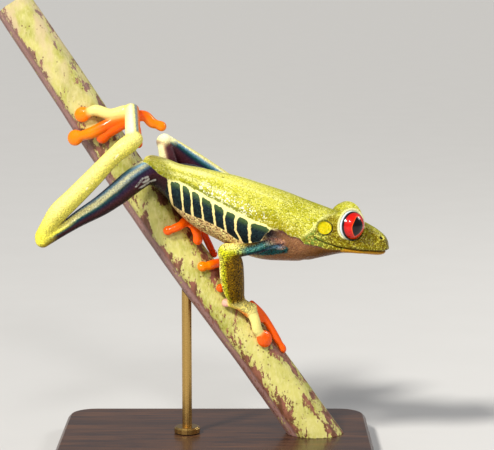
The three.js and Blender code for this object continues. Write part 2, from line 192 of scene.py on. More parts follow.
# Ridges (a height above 0) and creases on both sides: x, distance from the midline, z.
folds = [
    {"what": "hip bone", "high": 0.35, "wide": 1.1,
     "line": [(-16.0, 1.6, 72.6), (-11.0, 2.6, 72.4), (-5.0, 3.6, 71.0), (0.5, 4.4, 69.2)]},
    {"what": "spine", "high": -0.22, "wide": 0.9,
     "line": [(-13, 0, 73.3), (-4, 0, 71.2), (6, 0, 69.0), (16, 0, 65.6)]},
    {"what": "back fold", "high": 0.32, "wide": 0.6,
     "line": [(-13.5, 4.1, 71.0), (-9.3, 4.5, 70.1), (-4.5, 5.4, 68.6), (0.2, 6.7, 66.6), (6.0, 7.9, 63.4)]},
    {"what": "upper back fold", "high": 0.2, "wide": 0.7,
     "line": [(-8.0, 3.0, 71.6), (0.0, 4.2, 69.8), (8.0, 5.4, 67.0), (15.0, 5.4, 64.2), (20.0, 5.0, 62.4)]},
    {"what": "flank crease", "high": -0.42, "wide": 0.55,
     "line": [(-10.8, 4.9, 69.0), (-5.0, 6.0, 67.2), (0.3, 7.5, 64.5), (6.0, 8.3, 61.6), (11.5, 8.5, 59.0)]},
    {"what": "eardrum fold", "high": 0.42, "wide": 0.5,
     "line": [(29.4, 2.8, 60.6), (27.4, 4.6, 60.4), (25.4, 5.9, 59.7), (24.1, 7.3, 58.5), (23.0, 8.1, 57.2),
              (21.5, 8.4, 56.1), (19.6, 8.4, 55.4)]},
    {"what": "snout edge", "high": 0.25, "wide": 0.55,
     "line": [(34.9, 4.7, 57.4), (37.4, 3.8, 56.3), (39.6, 2.9, 54.9), (40.8, 1.8, 54.0)]},
    {"what": "lore hollow", "high": -0.3, "wide": 1.0,
     "line": [(34.6, 6.0, 55.2), (37.0, 5.0, 54.5), (39.0, 3.7, 53.7)]},
    {"what": "shoulder crease", "high": -0.4, "wide": 0.5,
     "line": [(12.0, 8.5, 58.4), (16.1, 8.4, 56.9), (18.4, 8.5, 55.6), (20.2, 8.6, 54.2), (19.8, 8.3, 52.4)]},
    {"what": "throat crease", "high": -0.25, "wide": 0.7,
     "line": [(22.5, 7.4, 51.0), (21.6, 5.0, 49.4), (21.2, 2.4, 48.9), (21.2, 0, 48.8)]},
    {"what": "jaw bone", "high": 0.2, "wide": 0.8,
     "line": [(24.0, 8.5, 53.2), (27.5, 8.6, 52.2), (32.0, 7.3, 51.4), (36.5, 5.2, 51.2)]},
]

# The mouth, x and z from the snout back to its corner.
mouth = {
    "line": [(44.0, 51.35), (39.5, 51.5), (37.3, 51.8), (34.3, 52.25), (31.9, 52.7), (29.5, 53.2),
             (27.6, 53.8), (26.0, 54.4), (24.6, 55.0), (23.9, 55.4), (23.2, 56.0)],
    "deep": 0.42,
    "wide": 0.2,
    "upperLip": 0.12,
    "lowerLip": 0.18,
    "upperLipAt": 0.6,  # height over the mouth's line
    "lowerLipAt": -0.62,
    "lipWide": 0.42,
    "overbite": 0.75,  # how far the snout stands out over the lower jaw
}

nostril = {"at": (39.7, 2.95, 54.75), "radius": 0.4, "deep": 0.8, "rim": 0.26}
eardrum = {"at": (25.9, 7.1, 57.6), "lean": 0.45, "radius": 1.78, "deep": 0.22, "rim": 0.16}
rimWide = 0.24  # of the raised rims round nostril and eardrum

eye = {
    "at": (31.8, 5.7, 58.1),
    "gaze": unit((0.602, 0.797, 0.03)),
    "ball": 3.63,
    "socket": 3.54,  # a little smaller than the ball, so that no gap shows between lid and eye
    "lid": 4.12,
    "rim": 0.72,  # how far the lid's edge stands in front of the eye's middle
    "opening": 3.62,
    "edge": 0.22,  # half the thickness of the lid's rolled edge
    # under the lower lid, a crease and then a roll: height, distance from the eye's middle, width
    "lowerFold": [(-0.22, 4.75, 0.28), (0.16, 5.25, 0.35)],
}
eye["forward"] = unit(np.cross((0, 0, 1), eye["gaze"]) * -1)
eye["up"] = unit(np.cross(eye["gaze"], eye["forward"]) * -1)

fineX = np.arange(body["rows"][0][0], body["rows"][-1][0] + 0.01, 0.05)
bodyProfile = smoothRows([row[1:] for row in body["rows"]], [row[0] for row in body["rows"]], fineX)
bodySlope = np.gradient(bodyProfile, fineX, axis=0)


def trunkShape(q):
    # distance to an oval section that changes along x, for points with y measured from the midline
    x = np.clip(q[:, 0], fineX[0], fineX[-1])
    top, under, half, widest = (np.interp(x, fineX, bodyProfile[:, k]) for k in range(4))
    dTop, dUnder, dHalf, dWidest = (np.interp(x, fineX, bodySlope[:, k]) for k in range(4))
    high = q[:, 2] - widest
    above = high > 0
    headShare = ease(body["headFrom"], body["headTo"], x)
    upper = body["trunkPower"] + (body["headPower"] - body["trunkPower"]) * headShare
    power = np.where(above, upper, body["bellyPower"])
    tall = np.where(above, top - widest, widest - under)
    dTall = np.where(above, dTop - dWidest, dWidest - dUnder)
    a = np.maximum(q[:, 1], 1e-3) / half
    b = np.maximum(np.abs(high), 1e-3) / tall
    aPower, bPower = a ** (power - 1), b ** (power - 1)
    size = np.maximum(aPower * a + bPower * b, 1e-6) ** (1 / power)
    scale = size ** (1 - power)
    slopeY = scale * aPower / half
    slopeZ = scale * bPower / tall
    slopeX = scale * (aPower * a * dHalf / half + bPower * b * dTall / tall
                      + np.sign(high) * bPower * dWidest / tall) / size
    d = (size - 1) / np.sqrt(slopeY**2 + slopeZ**2 + slopeX**2 + 1e-9)
    beyond = np.abs(q[:, 0] - x)
    return np.where(beyond > 0, np.hypot(np.maximum(d, 0), beyond), d).astype(np.float32)


def mouthPlace(q):
    # height above the mouth's line, seen from the side, and how close to its corner
    line = np.array(mouth["line"], np.float32)
    away, along = lineDistance(q[:, [0, 2]], line)
    order = line[::-1]
    height = np.interp(q[:, 0], order[:, 0], order[:, 1])
    side = np.where(q[:, 2] > height, 1, -1)
    return away * side, along


def eyePlace(q):
    v = q - np.array(eye["at"], np.float32)
    return (np.linalg.norm(v, axis=1), v @ eye["gaze"].astype(np.float32),
            v @ eye["forward"].astype(np.float32), v @ eye["up"].astype(np.float32))


def foldHeight(q):
    # how far the folds lift the skin, below 0 in a crease
    lift = np.zeros(len(q), np.float32)
    for fold in folds:
        line = smoothLine(fold["line"], 3)
        pick = near(q, line, 3 * fold["wide"])
        if len(pick):
            away, along = lineDistance(q[pick], line)
            fade = ease(0, 0.2, along) * ease(0, 0.2, 1 - along)
            lift[pick] += fold["high"] * hump(away, fold["wide"]) * fade
    return lift


def headAndBody(q):
    line = np.array(mouth["line"][::-1])
    height = q[:, 2] - np.interp(q[:, 0], line[:, 0], line[:, 1])
    jaw = q.copy()
    jaw[:, 0] += mouth["overbite"] * ease(36, 40.5, q[:, 0]) * ease(0.12, -0.12, height)
    d = trunkShape(jaw)
    d -= foldHeight(q)

    pick = np.flatnonzero((q[:, 0] > 22) & (q[:, 2] < 60) & (np.abs(d) < 1.6))  # lips
    if len(pick):
        height, along = mouthPlace(q[pick])
        fade = 0.45 * ease(0, 0.08, 1 - along) + 0.55 * ease(0.1, 0.5, 1 - along)
        d[pick] += mouth["deep"] * hump(height, mouth["wide"]) * fade
        d[pick] -= mouth["upperLip"] * hump(height - mouth["upperLipAt"], mouth["lipWide"]) * fade
        d[pick] -= mouth["lowerLip"] * hump(height - mouth["lowerLipAt"], mouth["lipWide"]) * fade

    hole = np.array(nostril["at"], np.float32)
    pick = near(q, [hole], 2)
    if len(pick):
        away = np.linalg.norm(q[pick] - hole, axis=1)
        d[pick] += nostril["deep"] * hump(away, nostril["radius"])
        d[pick] -= nostril["rim"] * hump(away - 2 * nostril["radius"], rimWide)

    drum = np.array(eardrum["at"], np.float32)
    pick = near(q, [drum], 3)
    if len(pick):
        away = drumAway(q[pick])
        radius = eardrum["radius"]
        d[pick] += eardrum["deep"] * ease(radius, radius - 0.45, away) * (1 - 0.5 * ease(1.2, 0, away))
        d[pick] -= eardrum["rim"] * hump(away - radius - 0.12, rimWide)

    return addEyelids(q, d)


def drumAway(q):
    v = q - np.array(eardrum["at"], np.float32)
    way = unit((0, 1, eardrum["lean"])).astype(np.float32)
    return np.linalg.norm(v - (v @ way)[:, None] * way, axis=1)


def addEyelids(q, d):
    pick = near(q, [eye["at"]], 7)
    if not len(pick):
        return d
    r, ahead, forward, up = eyePlace(q[pick])
    ring = np.hypot(forward, up)
    upper = ease(-2, 3, up)
    dome = softMax(r - eye["lid"], ahead - eye["rim"] - 0.1 * upper, 0.3)
    flesh = softMin(d[pick], dome, 1.5)
    below = ease(1.0, -1.5, up) * ease(6.2, 5.2, r)
    for lift, at, wide in eye["lowerFold"]:
        flesh -= lift * hump(r - at, wide) * below
    opening = softMax(ring - eye["opening"], -ahead, 0.12)
    flesh = softMax(flesh, -opening, 0.12)
    edge = eye["edge"] + 0.12 * upper
    rolled = np.hypot(ring - eye["opening"] - 0.2 - 0.06 * upper, ahead - eye["rim"] + 0.1) - edge
    flesh = softMin(flesh, rolled, 0.2)
    d[pick] = np.maximum(flesh, eye["socket"] - r)
    return d


# Each bone's flesh as slices x, y, z, half width, half thickness, from the body outwards. "root" is
# where the limb joins the trunk, softly (rootBlend, mm) within rootReach.
limbs = {
    "leg_right": {
        "root": (-14.0, -8.0, 70.4), "rootReach": 5.0, "rootBlend": 2.6,
        "thigh": [(-11.8, -6.6, 69.8, 2.8, 2.8), (-15.6, -8.6, 70.4, 2.9, 2.7),
                  (-18.9, -11.6, 68.8, 2.9, 2.8), (-22.7, -13.9, 65.9, 2.7, 2.7),
                  (-26.6, -15.5, 63.2, 2.35, 2.4), (-31.1, -17.2, 60.7, 1.9, 2.1),
                  (-35.2, -18.4, 58.1, 1.5, 1.8), (-39.7, -19.0, 55.7, 1.75, 1.7)],
        "shank": [(-39.6, -19.0, 56.8, 1.8, 1.8), (-37.9, -19.4, 59.7, 1.9, 2.0),
                  (-35.9, -19.6, 62.3, 2.3, 2.2), (-32.3, -19.5, 65.8, 2.25, 2.1),
                  (-27.7, -19.2, 70.4, 2.15, 2.0), (-23.2, -18.9, 75.1, 1.95, 1.85),
                  (-19.6, -18.5, 78.0, 2.15, 1.9), (-18.0, -18.3, 79.1, 1.7, 1.7)],
        "tarsus": [(-18.6, -17.6, 79.4, 1.8, 1.6), (-18.9, -14.2, 81.4, 1.78, 1.5),
                   (-19.2, -10.4, 83.4, 1.75, 1.45), (-19.5, -6.8, 85.0, 1.7, 1.4)],
        "foot": [(-19.9, -6.6, 85.0, 1.4, 1.3), (-21.4, -6.5, 83.6, 1.9, 0.9), (-24.2, -6.9, 82.6, 2.3, 0.5)],
    },
    "arm_right": {
        "root": (16.0, -12.3, 54.4), "rootReach": 3.2, "rootBlend": 1.6,
        "upper_arm": [(16.4, -11.8, 54.3, 2.1, 2.1), (13.6, -13.1, 54.2, 1.5, 1.7),
                      (10.3, -13.7, 53.2, 1.35, 1.6), (7.2, -13.8, 52.7, 1.5, 1.7),
                      (2.9, -12.8, 52.1, 1.9, 1.9)],
        "forearm": [(3.1, -12.4, 51.6, 2.2, 2.0), (3.9, -11.6, 49.4, 2.75, 2.3), (4.1, -10.4, 46.3, 2.9, 2.4),
                    (4.5, -8.9, 42.7, 2.6, 2.1), (5.0, -7.6, 40.2, 2.1, 1.6)],
        "hand": [(5.3, -7.2, 39.3, 1.7, 1.4), (6.9, -6.3, 37.8, 1.6, 1.3), (8.6, -5.5, 36.6, 1.9, 1.2)],
    },
    "leg_left": {
        "root": (-10.0, -1.6, 68.0), "rootReach": 5.0, "rootBlend": 2.0,
        "thigh": [(-10.8, -1.4, 68.6, 2.8, 2.8), (-7.0, 3.4, 68.2, 3.0, 3.3), (-1.6, 8.4, 66.0, 2.9, 3.2),
                  (5.0, 13.5, 62.6, 2.3, 2.4), (9.8, 18.2, 60.2, 1.7, 1.9), (11.8, 20.4, 59.6, 1.75, 1.75)],
        "shank": [(11.7, 20.5, 59.8, 1.8, 1.8), (6.6, 19.0, 61.6, 2.6, 2.2), (0.6, 16.3, 65.0, 3.4, 2.4),
                  (-4.7, 13.6, 68.8, 3.5, 2.4), (-9.3, 11.3, 72.6, 3.0, 2.2), (-12.6, 9.5, 76.0, 1.95, 1.9)],
        "tarsus": [(-12.6, 9.4, 75.6, 1.7, 1.6), (-11.8, 7.4, 72.6, 1.95, 1.4), (-10.5, 5.2, 68.6, 1.9, 1.35),
                   (-9.2, 3.4, 63.4, 1.45, 1.3)],
        "foot": [(-9.0, 3.0, 62.8, 1.4, 1.2), (-7.8, 1.0, 60.4, 1.6, 0.9), (-6.4, -1.4, 58.8, 1.8, 0.6)],
    },
    "arm_left": {
        "root": (16.0, 1.2, 54.2), "rootReach": 3.2, "rootBlend": 1.6,
        "upper_arm": [(16.2, 0.8, 54.2, 2.1, 2.1), (12.8, 4.4, 54.4, 1.5, 1.6), (9.4, 8.6, 54.2, 1.5, 1.7),
                      (6.6, 11.6, 54.0, 1.9, 1.9)],
        "forearm": [(6.3, 11.8, 53.6, 1.9, 1.9), (5.1, 9.0, 51.2, 2.4, 2.1), (4.4, 6.2, 48.7, 2.2, 1.9),
                    (3.8, 3.8, 46.6, 1.7, 1.4)],
        "hand": [(3.7, 3.2, 46.2, 1.5, 1.3), (3.0, 1.4, 45.9, 1.7, 1.0)],
    },
}
# from the body outwards; and the soft join (mm) of some with the bones before them
boneNames = ("thigh", "upper_arm", "shank", "forearm", "tarsus", "hand", "foot")
boneBlend = {"shank": 0.6, "forearm": 0.9, "tarsus": 0.6, "hand": 0.8, "foot": 0.8}

# Each digit: half width of the pad and of the digit, the way the pad's back faces, and its line from
# the foot or hand.
digits = {
    "leg_right": [
        (1.2, 1.3, (0.6, -0.7, 0.4),
         [(-18.4, -5.2, 83.5), (-16.4, -4.8, 83.3), (-14.9, -4.4, 81.8), (-12.7, -4.0, 80.9)]),
        (0.95, 0.8, (0.8, -0.4, 0.4),
         [(-19.1, -4.8, 82.6), (-18.3, -3.2, 80.0), (-18.2, -2.0, 77.9), (-18.2, -1.4, 76.4)]),
        (1.5, 1.5, (0, -1, 0.2), [(-20.8, -6.2, 82.6), (-23.8, -6.7, 80.5), (-26.6, -6.2, 78.5)]),
        (1.95, 1.4, (-0.4, -1, 0.1),
         [(-21.6, -6.4, 83.4), (-25.2, -6.8, 81.5), (-29.2, -6.2, 79.5), (-33.2, -4.4, 78.2)]),
        (1.85, 1.3, (-0.1, -1, 0.1),
         [(-21.4, -6.6, 84.6), (-24.6, -6.8, 84.0), (-28.0, -6.3, 84.9), (-31.4, -5.3, 83.8)]),
    ],
    "arm_right": [
        (0.95, 1.0, (0.2, -1, 0.2), [(5.0, -7.0, 38.5), (3.8, -6.8, 38.6), (2.6, -6.2, 38.6)]),
        (1.2, 0.95, (0.8, 0.1, 0.5),
         [(8.6, -3.4, 37.5), (10.4, -1.4, 35.2), (11.9, 0.6, 32.9), (12.9, 2.2, 31.0)]),
        (1.2, 1.05, (0.85, -0.1, 0.5),
         [(8.9, -4.0, 37.8), (10.8, -2.7, 35.7), (12.5, -1.9, 33.2), (14.9, -1.2, 28.9), (16.3, -0.9, 26.4)]),
        (2.05, 1.25, (0.45, -0.88, 0.25),
         [(8.9, -5.6, 36.1), (9.7, -5.9, 34.1), (10.2, -5.8, 31.9), (11.9, -5.2, 29.6)]),
    ],
    "leg_left": [
        (1.1, 1.0, (0.1, -1, 0.2),
         [(-6.9, -3.2, 58.3), (-8.3, -5.3, 57.2), (-9.7, -5.9, 56.6), (-11.2, -6.0, 56.1)]),
        (1.3, 1.1, (0.6, -0.8, 0.2),
         [(-5.9, -2.4, 57.7), (-4.9, -4.0, 56.5), (-4.3, -4.6, 55.2), (-4.1, -4.5, 53.7)]),
        (0.9, 0.95, (0.8, -0.3, 0.5),
         [(-5.2, -0.8, 57.6), (-3.4, 0.8, 55.5), (-2.2, 1.5, 53.0), (-1.2, 1.3, 50.9), (-0.4, 0.8, 49.4)]),
        (1.6, 1.1, (0.3, 1, 0.4),
         [(-5.8, 1.6, 58.6), (-4.4, 5.2, 54.9), (-5.4, 6.3, 51.2), (-7.0, 6.2, 48.6)]),
        (1.5, 1.1, (-0.1, 1, 0.2),
         [(-7.4, 2.2, 59.6), (-7.8, 5.8, 56.6), (-9.8, 6.5, 54.3), (-11.8, 6.0, 52.7)]),
    ],
    "arm_left": [
        (1.1, 1.0, (0.5, 0.8, 0.3), [(3.8, 3.4, 45.2), (5.0, 4.9, 42.2), (5.2, 5.4, 39.6)]),
        (1.2, 1.0, (0.8, 0.3, 0.5), [(4.2, 1.8, 44.8), (5.3, 2.0, 42.2), (6.0, 2.2, 40.0)]),
        (0.95, 0.95, (0.3, -0.9, 0.2),
         [(3.7, 0.2, 44.9), (3.8, -2.8, 43.7), (2.9, -4.9, 42.7), (1.3, -5.8, 42.1)]),
        (1.2, 1.1, (0.1, -1, 0.2),
         [(2.6, 0.8, 46.9), (0.6, -2.8, 47.7), (-1.4, -5.1, 47.5), (-3.0, -6.0, 47.4)]),
    ],
}
# Webs between neighbouring digits: their numbers, and how far out along each the skin reaches.
webs = {
    "leg_right": [(2, 3, 0.5, 0.4), (3, 4, 0.8, 0.55), (4, 5, 0.45, 0.42)],
    "arm_right": [(2, 3, 0.3, 0.22), (3, 4, 0.5, 0.7)],
    "leg_left": [(1, 2, 0.4, 0.4), (2, 3, 0.5, 0.35), (4, 5, 0.45, 0.5)],
    "arm_left": [(1, 2, 0.35, 0.4), (3, 4, 0.3, 0.3)],
}
webThickness = 0.27
webSag = 0.28  # how far the free edge curves in towards the foot

# Soft joins in mm: of any other bone, a pad with its digit, one digit with the next, a web, the digits
# with the foot, and the skin's edge at the stem; and how far the skin sinks into the stem's smooth form.
joins = {"bone": 0.1, "pad": 0.6, "digit": 0.12, "web": 0.3, "foot": 0.5, "stem": 0.12, "sunk": 0.1}
webReach = 1.2  # mm round a web in which it counts
stemReach = {"near": 1.2, "side": 8}  # mm from the flesh and from the stem's plane where it can be held

stemShape = {
    "line": [(-48.2, 109.9), (-35.6, 90.9), (-24.2, 73.4), (-7.0, 48.4), (10.0, 25.4), (22.0, 8.4),
             (27.9, 0.0)],
    "topRadius": 4.55,
    "footRadius": 5.75,
}
stemRows = [(x, 0, z, np.interp(k, (0, 6), (stemShape["topRadius"], stemShape["footRadius"])))
            for k, (x, z) in enumerate(stemShape["line"])]
stemFine = smoothLine(stemRows, 5)


def stemParts(points):
    # for each straight part of the stem: its number, its direction, and for each point the share
    # along it and the way out from its middle
    for k in range(len(stemFine) - 1):
        start, way = stemFine[k, :3], stemFine[k + 1, :3] - stemFine[k, :3]
        t = np.clip((points - start) @ way / (way @ way), 0, 1)
        yield k, way, t, points - start - t[:, None] * way


def stemDistance(points):
    best = np.full(len(points), far, np.float32)
    for k, way, t, v in stemParts(points):
        radius = stemFine[k, 3] + t * (stemFine[k + 1, 3] - stemFine[k, 3])
        best = np.minimum(best, np.linalg.norm(v, axis=1) - radius)
    return best


def chainOf(stations, flat, pieces=5):
    rows = smoothLine(stations, pieces)
    mid = rows[:, :3]
    middles = (mid[1:] + mid[:-1]) / 2
    way = np.diff(mid, axis=0)
    length = np.linalg.norm(way, axis=1)
    way /= length[:, None]
    up = np.asarray(flat, float) - (way @ np.asarray(flat, float))[:, None] * way
    up /= np.linalg.norm(up, axis=1)[:, None]
    return {"mid": mid.astype(np.float32), "middles": middles, "way": way, "length": length, "up": up,
            "across": np.cross(up, way), "wide": rows[:, 3], "thick": rows[:, 4],
            "low": mid.min(0), "high": mid.max(0), "most": rows[:, 3:].max()}


def chainDistance(points, chain, reach=2.4, withPlace=False):
    # distance to a row of oval slices for the points close to it; with place, also how far along it
    # the nearest slice is (0 to 1) and the unit direction from that slice's middle
    span = reach + chain["most"]
    pick = within(points, chain["low"] - span, chain["high"] + span)
    p = points[pick]
    best = np.full(len(p), far, np.float32)
    along = np.zeros(len(p), np.float32)
    facing = np.zeros((len(p), 3), np.float32)
    count = len(chain["length"])
    for k in range(count):
        length, way = chain["length"][k], chain["way"][k]
        close = np.flatnonzero(np.linalg.norm(p - chain["middles"][k], axis=1) < span + length / 2)
        if not len(close):
            continue
        v = p[close] - chain["mid"][k]
        t = np.clip(v @ way / length, 0, 1)
        v = v - (t * length)[:, None] * way
        wide = chain["wide"][k] + t * (chain["wide"][k + 1] - chain["wide"][k])
        thick = chain["thick"][k] + t * (chain["thick"][k + 1] - chain["thick"][k])
        small = np.minimum(wide, thick)
        parts = (v @ chain["across"][k] / wide, v @ chain["up"][k] / thick, v @ way / small)
        size = np.sqrt(parts[0] ** 2 + parts[1] ** 2 + parts[2] ** 2)
        steep = np.sqrt((parts[0] / wide) ** 2 + (parts[1] / thick) ** 2 + (parts[2] / small) ** 2)
        d = ovalDistance(size, steep, small)
        nearer = d < best[close]
        chosen = close[nearer]
        best[chosen] = d[nearer]
        if withPlace:
            along[chosen] = (k + t[nearer]) / count
            facing[chosen] = v[nearer] / np.maximum(np.linalg.norm(v[nearer], axis=1), 1e-4)[:, None]
    return pick, best, along, facing


# The digits' proportions, as shares of the half width (padThick is in mm, padSwell a share of the pad).
digitShape = {
    "thick": 0.8,
    "root": 1.15,
    "middle": 0.92,
    "knuckle": 1.08,
    "neck": 0.82,
    "neckThick": 0.92,
    "tipThick": 0.8,
    "neckAt": 0.9,  # pads back from the tip
    "padLong": 1.04,
    "padWide": 0.98,
    "padThick": 0.66,
    "padSwell": 0.17,
}


def padDistance(points, digit):
    # a domed cushion, a little longer than wide
    pad, tip, way, back = (digit[key] for key in ("pad", "tip", "way", "back"))
    look = digitShape
    thick = look["padThick"] + look["padSwell"] * pad
    sizes = np.array([pad * look["padLong"], pad * look["padWide"], thick])
    v = points - tip
    part = np.stack([v @ way, v @ np.cross(way, back), v @ back], 1) / sizes
    size = np.sqrt((part**2).sum(1))
    steep = np.sqrt(((part / sizes) ** 2).sum(1))
    return ovalDistance(size, steep, sizes[2])


def digitOf(spec):
    pad, width, back, line = spec
    tip = np.array(line[-1], float)
    way = unit(tip - np.array(line[-2], float))
    look = digitShape
    thick = look["thick"] * width
    neck = tip - look["neckAt"] * pad * way
    last = len(line) - 2
    stations = [(*p, width * look["middle" if i else "root"], thick) for i, p in enumerate(line[:-1])]
    # a slight knuckle where a long digit bends, and a narrow neck behind the pad
    if last >= 2:
        for i in range(1, last + 1):
            stations[i] = (*line[i], width, thick * look["knuckle"])
    stations.append((*neck, width * look["neck"], thick * look["neckThick"]))
    stations.append((*tip, width * look["neck"], thick * look["tipThick"]))
    back = np.array(back, float)
    back = unit(back - (back @ way) * way)
    return {"chain": chainOf(stations, back, 4), "pad": pad, "tip": tip, "way": way, "back": back,
            "line": smoothLine(line, 8)}


def webRows(first, second, reachA, reachB):
    rows = []
    for share in [k / 9 for k in range(10)]:
        a = first["line"][int(round(share * reachA * (len(first["line"]) - 1)))]
        b = second["line"][int(round(share * reachB * (len(second["line"]) - 1)))]
        sag = webSag * share
        root = (first["line"][0] + second["line"][0]) / 2
        mid = (a + b) / 2 + sag * (root - (a + b) / 2)
        rows.append([a, (a + mid * 2) / 3, mid, (b + mid * 2) / 3, b])
    return np.array(rows)


def webDistance(points, rows):
    best = np.full(len(points), far, np.float32)
    lines = [*rows] + [rows[:, k] for k in range(rows.shape[1])]
    for line in lines:
        best = np.minimum(best, lineDistance(points, line)[0])
    return best - webThickness


for limb, spec in limbs.items():
    spec["chains"] = {}
    for name in boneNames:
        if name in spec:
            spec["chains"][name] = chainOf(spec[name], (0, 1, 0))
    spec["digits"] = [digitOf(digit) for digit in digits[limb]]
    spec["webs"] = [webRows(spec["digits"][a - 1], spec["digits"][b - 1], reachA, reachB)
                    for a, b, reachA, reachB in webs[limb]]
    ends = np.concatenate([chain["mid"] for chain in spec["chains"].values()]
                          + [digit["line"] for digit in spec["digits"]])
    spec["low"], spec["high"] = ends.min(0) - 5.2, ends.max(0) + 5.2


def limbDistance(points, spec):
    pick = within(points, spec["low"], spec["high"])
    p = points[pick]
    bones = np.full(len(p), far, np.float32)
    for name, chain in spec["chains"].items():
        some, d, _, _ = chainDistance(p, chain)
        bones[some] = softMin(bones[some], d, boneBlend.get(name, joins["bone"]))
    ends = np.full(len(p), far, np.float32)
    for digit in spec["digits"]:
        some, d, _, _ = chainDistance(p, digit["chain"])
        d = softMin(d, padDistance(p[some], digit), joins["pad"])
        ends[some] = softMin(ends[some], d, joins["digit"])
        some = near(p, [digit["tip"]], digit["pad"] + 2)
        ends[some] = np.minimum(ends[some], padDistance(p[some], digit))
    for rows in spec["webs"]:
        some = near(p, rows.reshape(-1, 3), webReach)
        ends[some] = softMin(ends[some], webDistance(p[some], rows), joins["web"])
    flesh = softMin(bones, ends, joins["foot"])
    held = np.flatnonzero((flesh < stemReach["near"]) & (np.abs(p[:, 1]) < stemReach["side"]))
    if len(held):
        flesh[held] = softMax(flesh[held], -(stemDistance(p[held]) + joins["sunk"]), joins["stem"])
    return pick, flesh


def skinDistance(points):
    q = points.copy()
    q[:, 1] = np.abs(q[:, 1] - middle)
    d = headAndBody(q)
    for spec in limbs.values():
        pick, flesh = limbDistance(points, spec)
        away = np.linalg.norm(points[pick] - spec["root"], axis=1)
        blend = 0.15 + spec["rootBlend"] * hump(away, spec["rootReach"])
        d[pick] = softMin(d[pick], flesh, blend)
    return d.astype(np.float32)


def inPieces(function, points, most=300000):
    return np.concatenate([function(points[k:k + most]) for k in range(0, len(points), most)])


def netOf(distance, low, high, step):
    # a closed net of four-sided faces around the places where the distance is below 0
    block = 4
    low = np.array(low, np.float32)
    count = np.ceil((np.array(high) - low) / (step * block)).astype(int) + 1
    axes = [low[a] + (np.arange(count[a]) * block + (block - 1) / 2) * step for a in range(3)]
    centres = np.stack(np.meshgrid(*axes, indexing="ij"), -1).reshape(-1, 3).astype(np.float32)
    coarse = inPieces(distance, centres).reshape(count)
    blocks = np.argwhere(np.abs(coarse) < step * block * 1.35 + 0.25)
    values = coarse.repeat(block, 0).repeat(block, 1).repeat(block, 2)
    inner = np.stack(np.meshgrid(*[np.arange(block)] * 3, indexing="ij"), -1).reshape(-1, 3)
    index = (blocks[:, None] * block + inner[None]).reshape(-1, 3)
    values[tuple(index.T)] = inPieces(distance, (low + index * step).astype(np.float32))
    print("  distance field:", len(centres), "coarse and", len(index), "fine samples")

    inside = values < 0
    size = np.array(values.shape)
    corners = [(i, j, k) for i in (0, 1) for j in (0, 1) for k in (0, 1)]
    mixed = np.zeros(size - 1, np.uint8)
    for i, j, k in corners:
        mixed += inside[i:size[0] - 1 + i, j:size[1] - 1 + j, k:size[2] - 1 + k]
    cells = np.argwhere((mixed > 0) & (mixed < 8))
    here = {c: values[tuple((cells + c).T)] for c in corners}
    total = np.zeros((len(cells), 3))
    crossings = np.zeros(len(cells))
    for start in corners:
        for axis in range(3):
            if start[axis]:
                continue
            end = tuple(v + (a == axis) for a, v in enumerate(start))
            a, b = here[start], here[end]
            cut = (a < 0) != (b < 0)
            place = np.tile(np.array(start, float), (len(cells), 1))
            place[:, axis] += np.where(cut, a / np.where(cut, a - b, 1), 0)
            total += place * cut[:, None]
            crossings += cut
    points = low + (cells + total / crossings[:, None]) * step

    key = (cells[:, 0] * size[1] + cells[:, 1]) * size[2] + cells[:, 2]
    faces = []
    for axis in range(3):
        lower = tuple(slice(None, -1) if a == axis else slice(None) for a in range(3))
        upper = tuple(slice(1, None) if a == axis else slice(None) for a in range(3))
        edges = np.argwhere(inside[lower] != inside[upper])
        u, v = (axis + 1) % 3, (axis + 2) % 3
        quad = []
        for du, dv in ((-1, -1), (0, -1), (0, 0), (-1, 0)):
            cell = edges.copy()
            cell[:, u] += du
            cell[:, v] += dv
            quad.append(np.searchsorted(key, (cell[:, 0] * size[1] + cell[:, 1]) * size[2] + cell[:, 2]))
        quad = np.stack(quad, 1)
        turned = ~inside[tuple(edges.T)]
        quad[turned] = quad[turned][:, ::-1]
        faces.append(quad)
    return points, np.concatenate(faces)


def settle(points, distance, rounds=2):
    # moves each point along the slope on to the surface
    h = 0.04
    for _ in range(rounds):
        value = inPieces(distance, points.astype(np.float32))
        slope = np.stack([inPieces(distance, (points + np.eye(3)[a] * h).astype(np.float32)) - value
                          for a in range(3)], 1) / h
        steep = np.maximum((slope**2).sum(1), 0.3)
        move = -(value / steep)[:, None] * slope
        length = np.maximum(np.linalg.norm(move, axis=1), 1e-6)
        points = points + move * np.minimum(1, 0.1 / length)[:, None]
    return points


def addObject(name, data):
    added = bpy.data.objects.new(name, data)
    bpy.context.scene.collection.objects.link(added)
    return added


def meshOf(name, points, faces):
    # points in millimetres; faces all have the same number of corners
    faces = np.asarray(faces)
    sides = faces.shape[1]
    mesh = bpy.data.meshes.new(name)
    mesh.vertices.add(len(points))
    mesh.vertices.foreach_set("co", (np.asarray(points) * mm).astype(np.float32).ravel())
    mesh.loops.add(faces.size)
    mesh.loops.foreach_set("vertex_index", faces.ravel().astype(np.int32))
    mesh.polygons.add(len(faces))
    mesh.polygons.foreach_set("loop_start", np.arange(0, faces.size, sides, dtype=np.int32))
    mesh.update(calc_edges=True)
    mesh.validate()
    mesh.shade_smooth()
    return addObject(name, mesh)


def settled(piece):
    # the piece's mesh with its modifiers worked in
    shown = piece.evaluated_get(bpy.context.evaluated_depsgraph_get())
    mesh = bpy.data.meshes.new_from_object(shown)
    piece.modifiers.clear()
    old = piece.data
    piece.data = mesh
    bpy.data.meshes.remove(old)
    mesh.name = piece.name
    return piece


def pointsOf(piece):
    flat = np.zeros(len(piece.data.vertices) * 3, np.float32)
    piece.data.vertices.foreach_get("co", flat)
    return flat.reshape(-1, 3) / mm


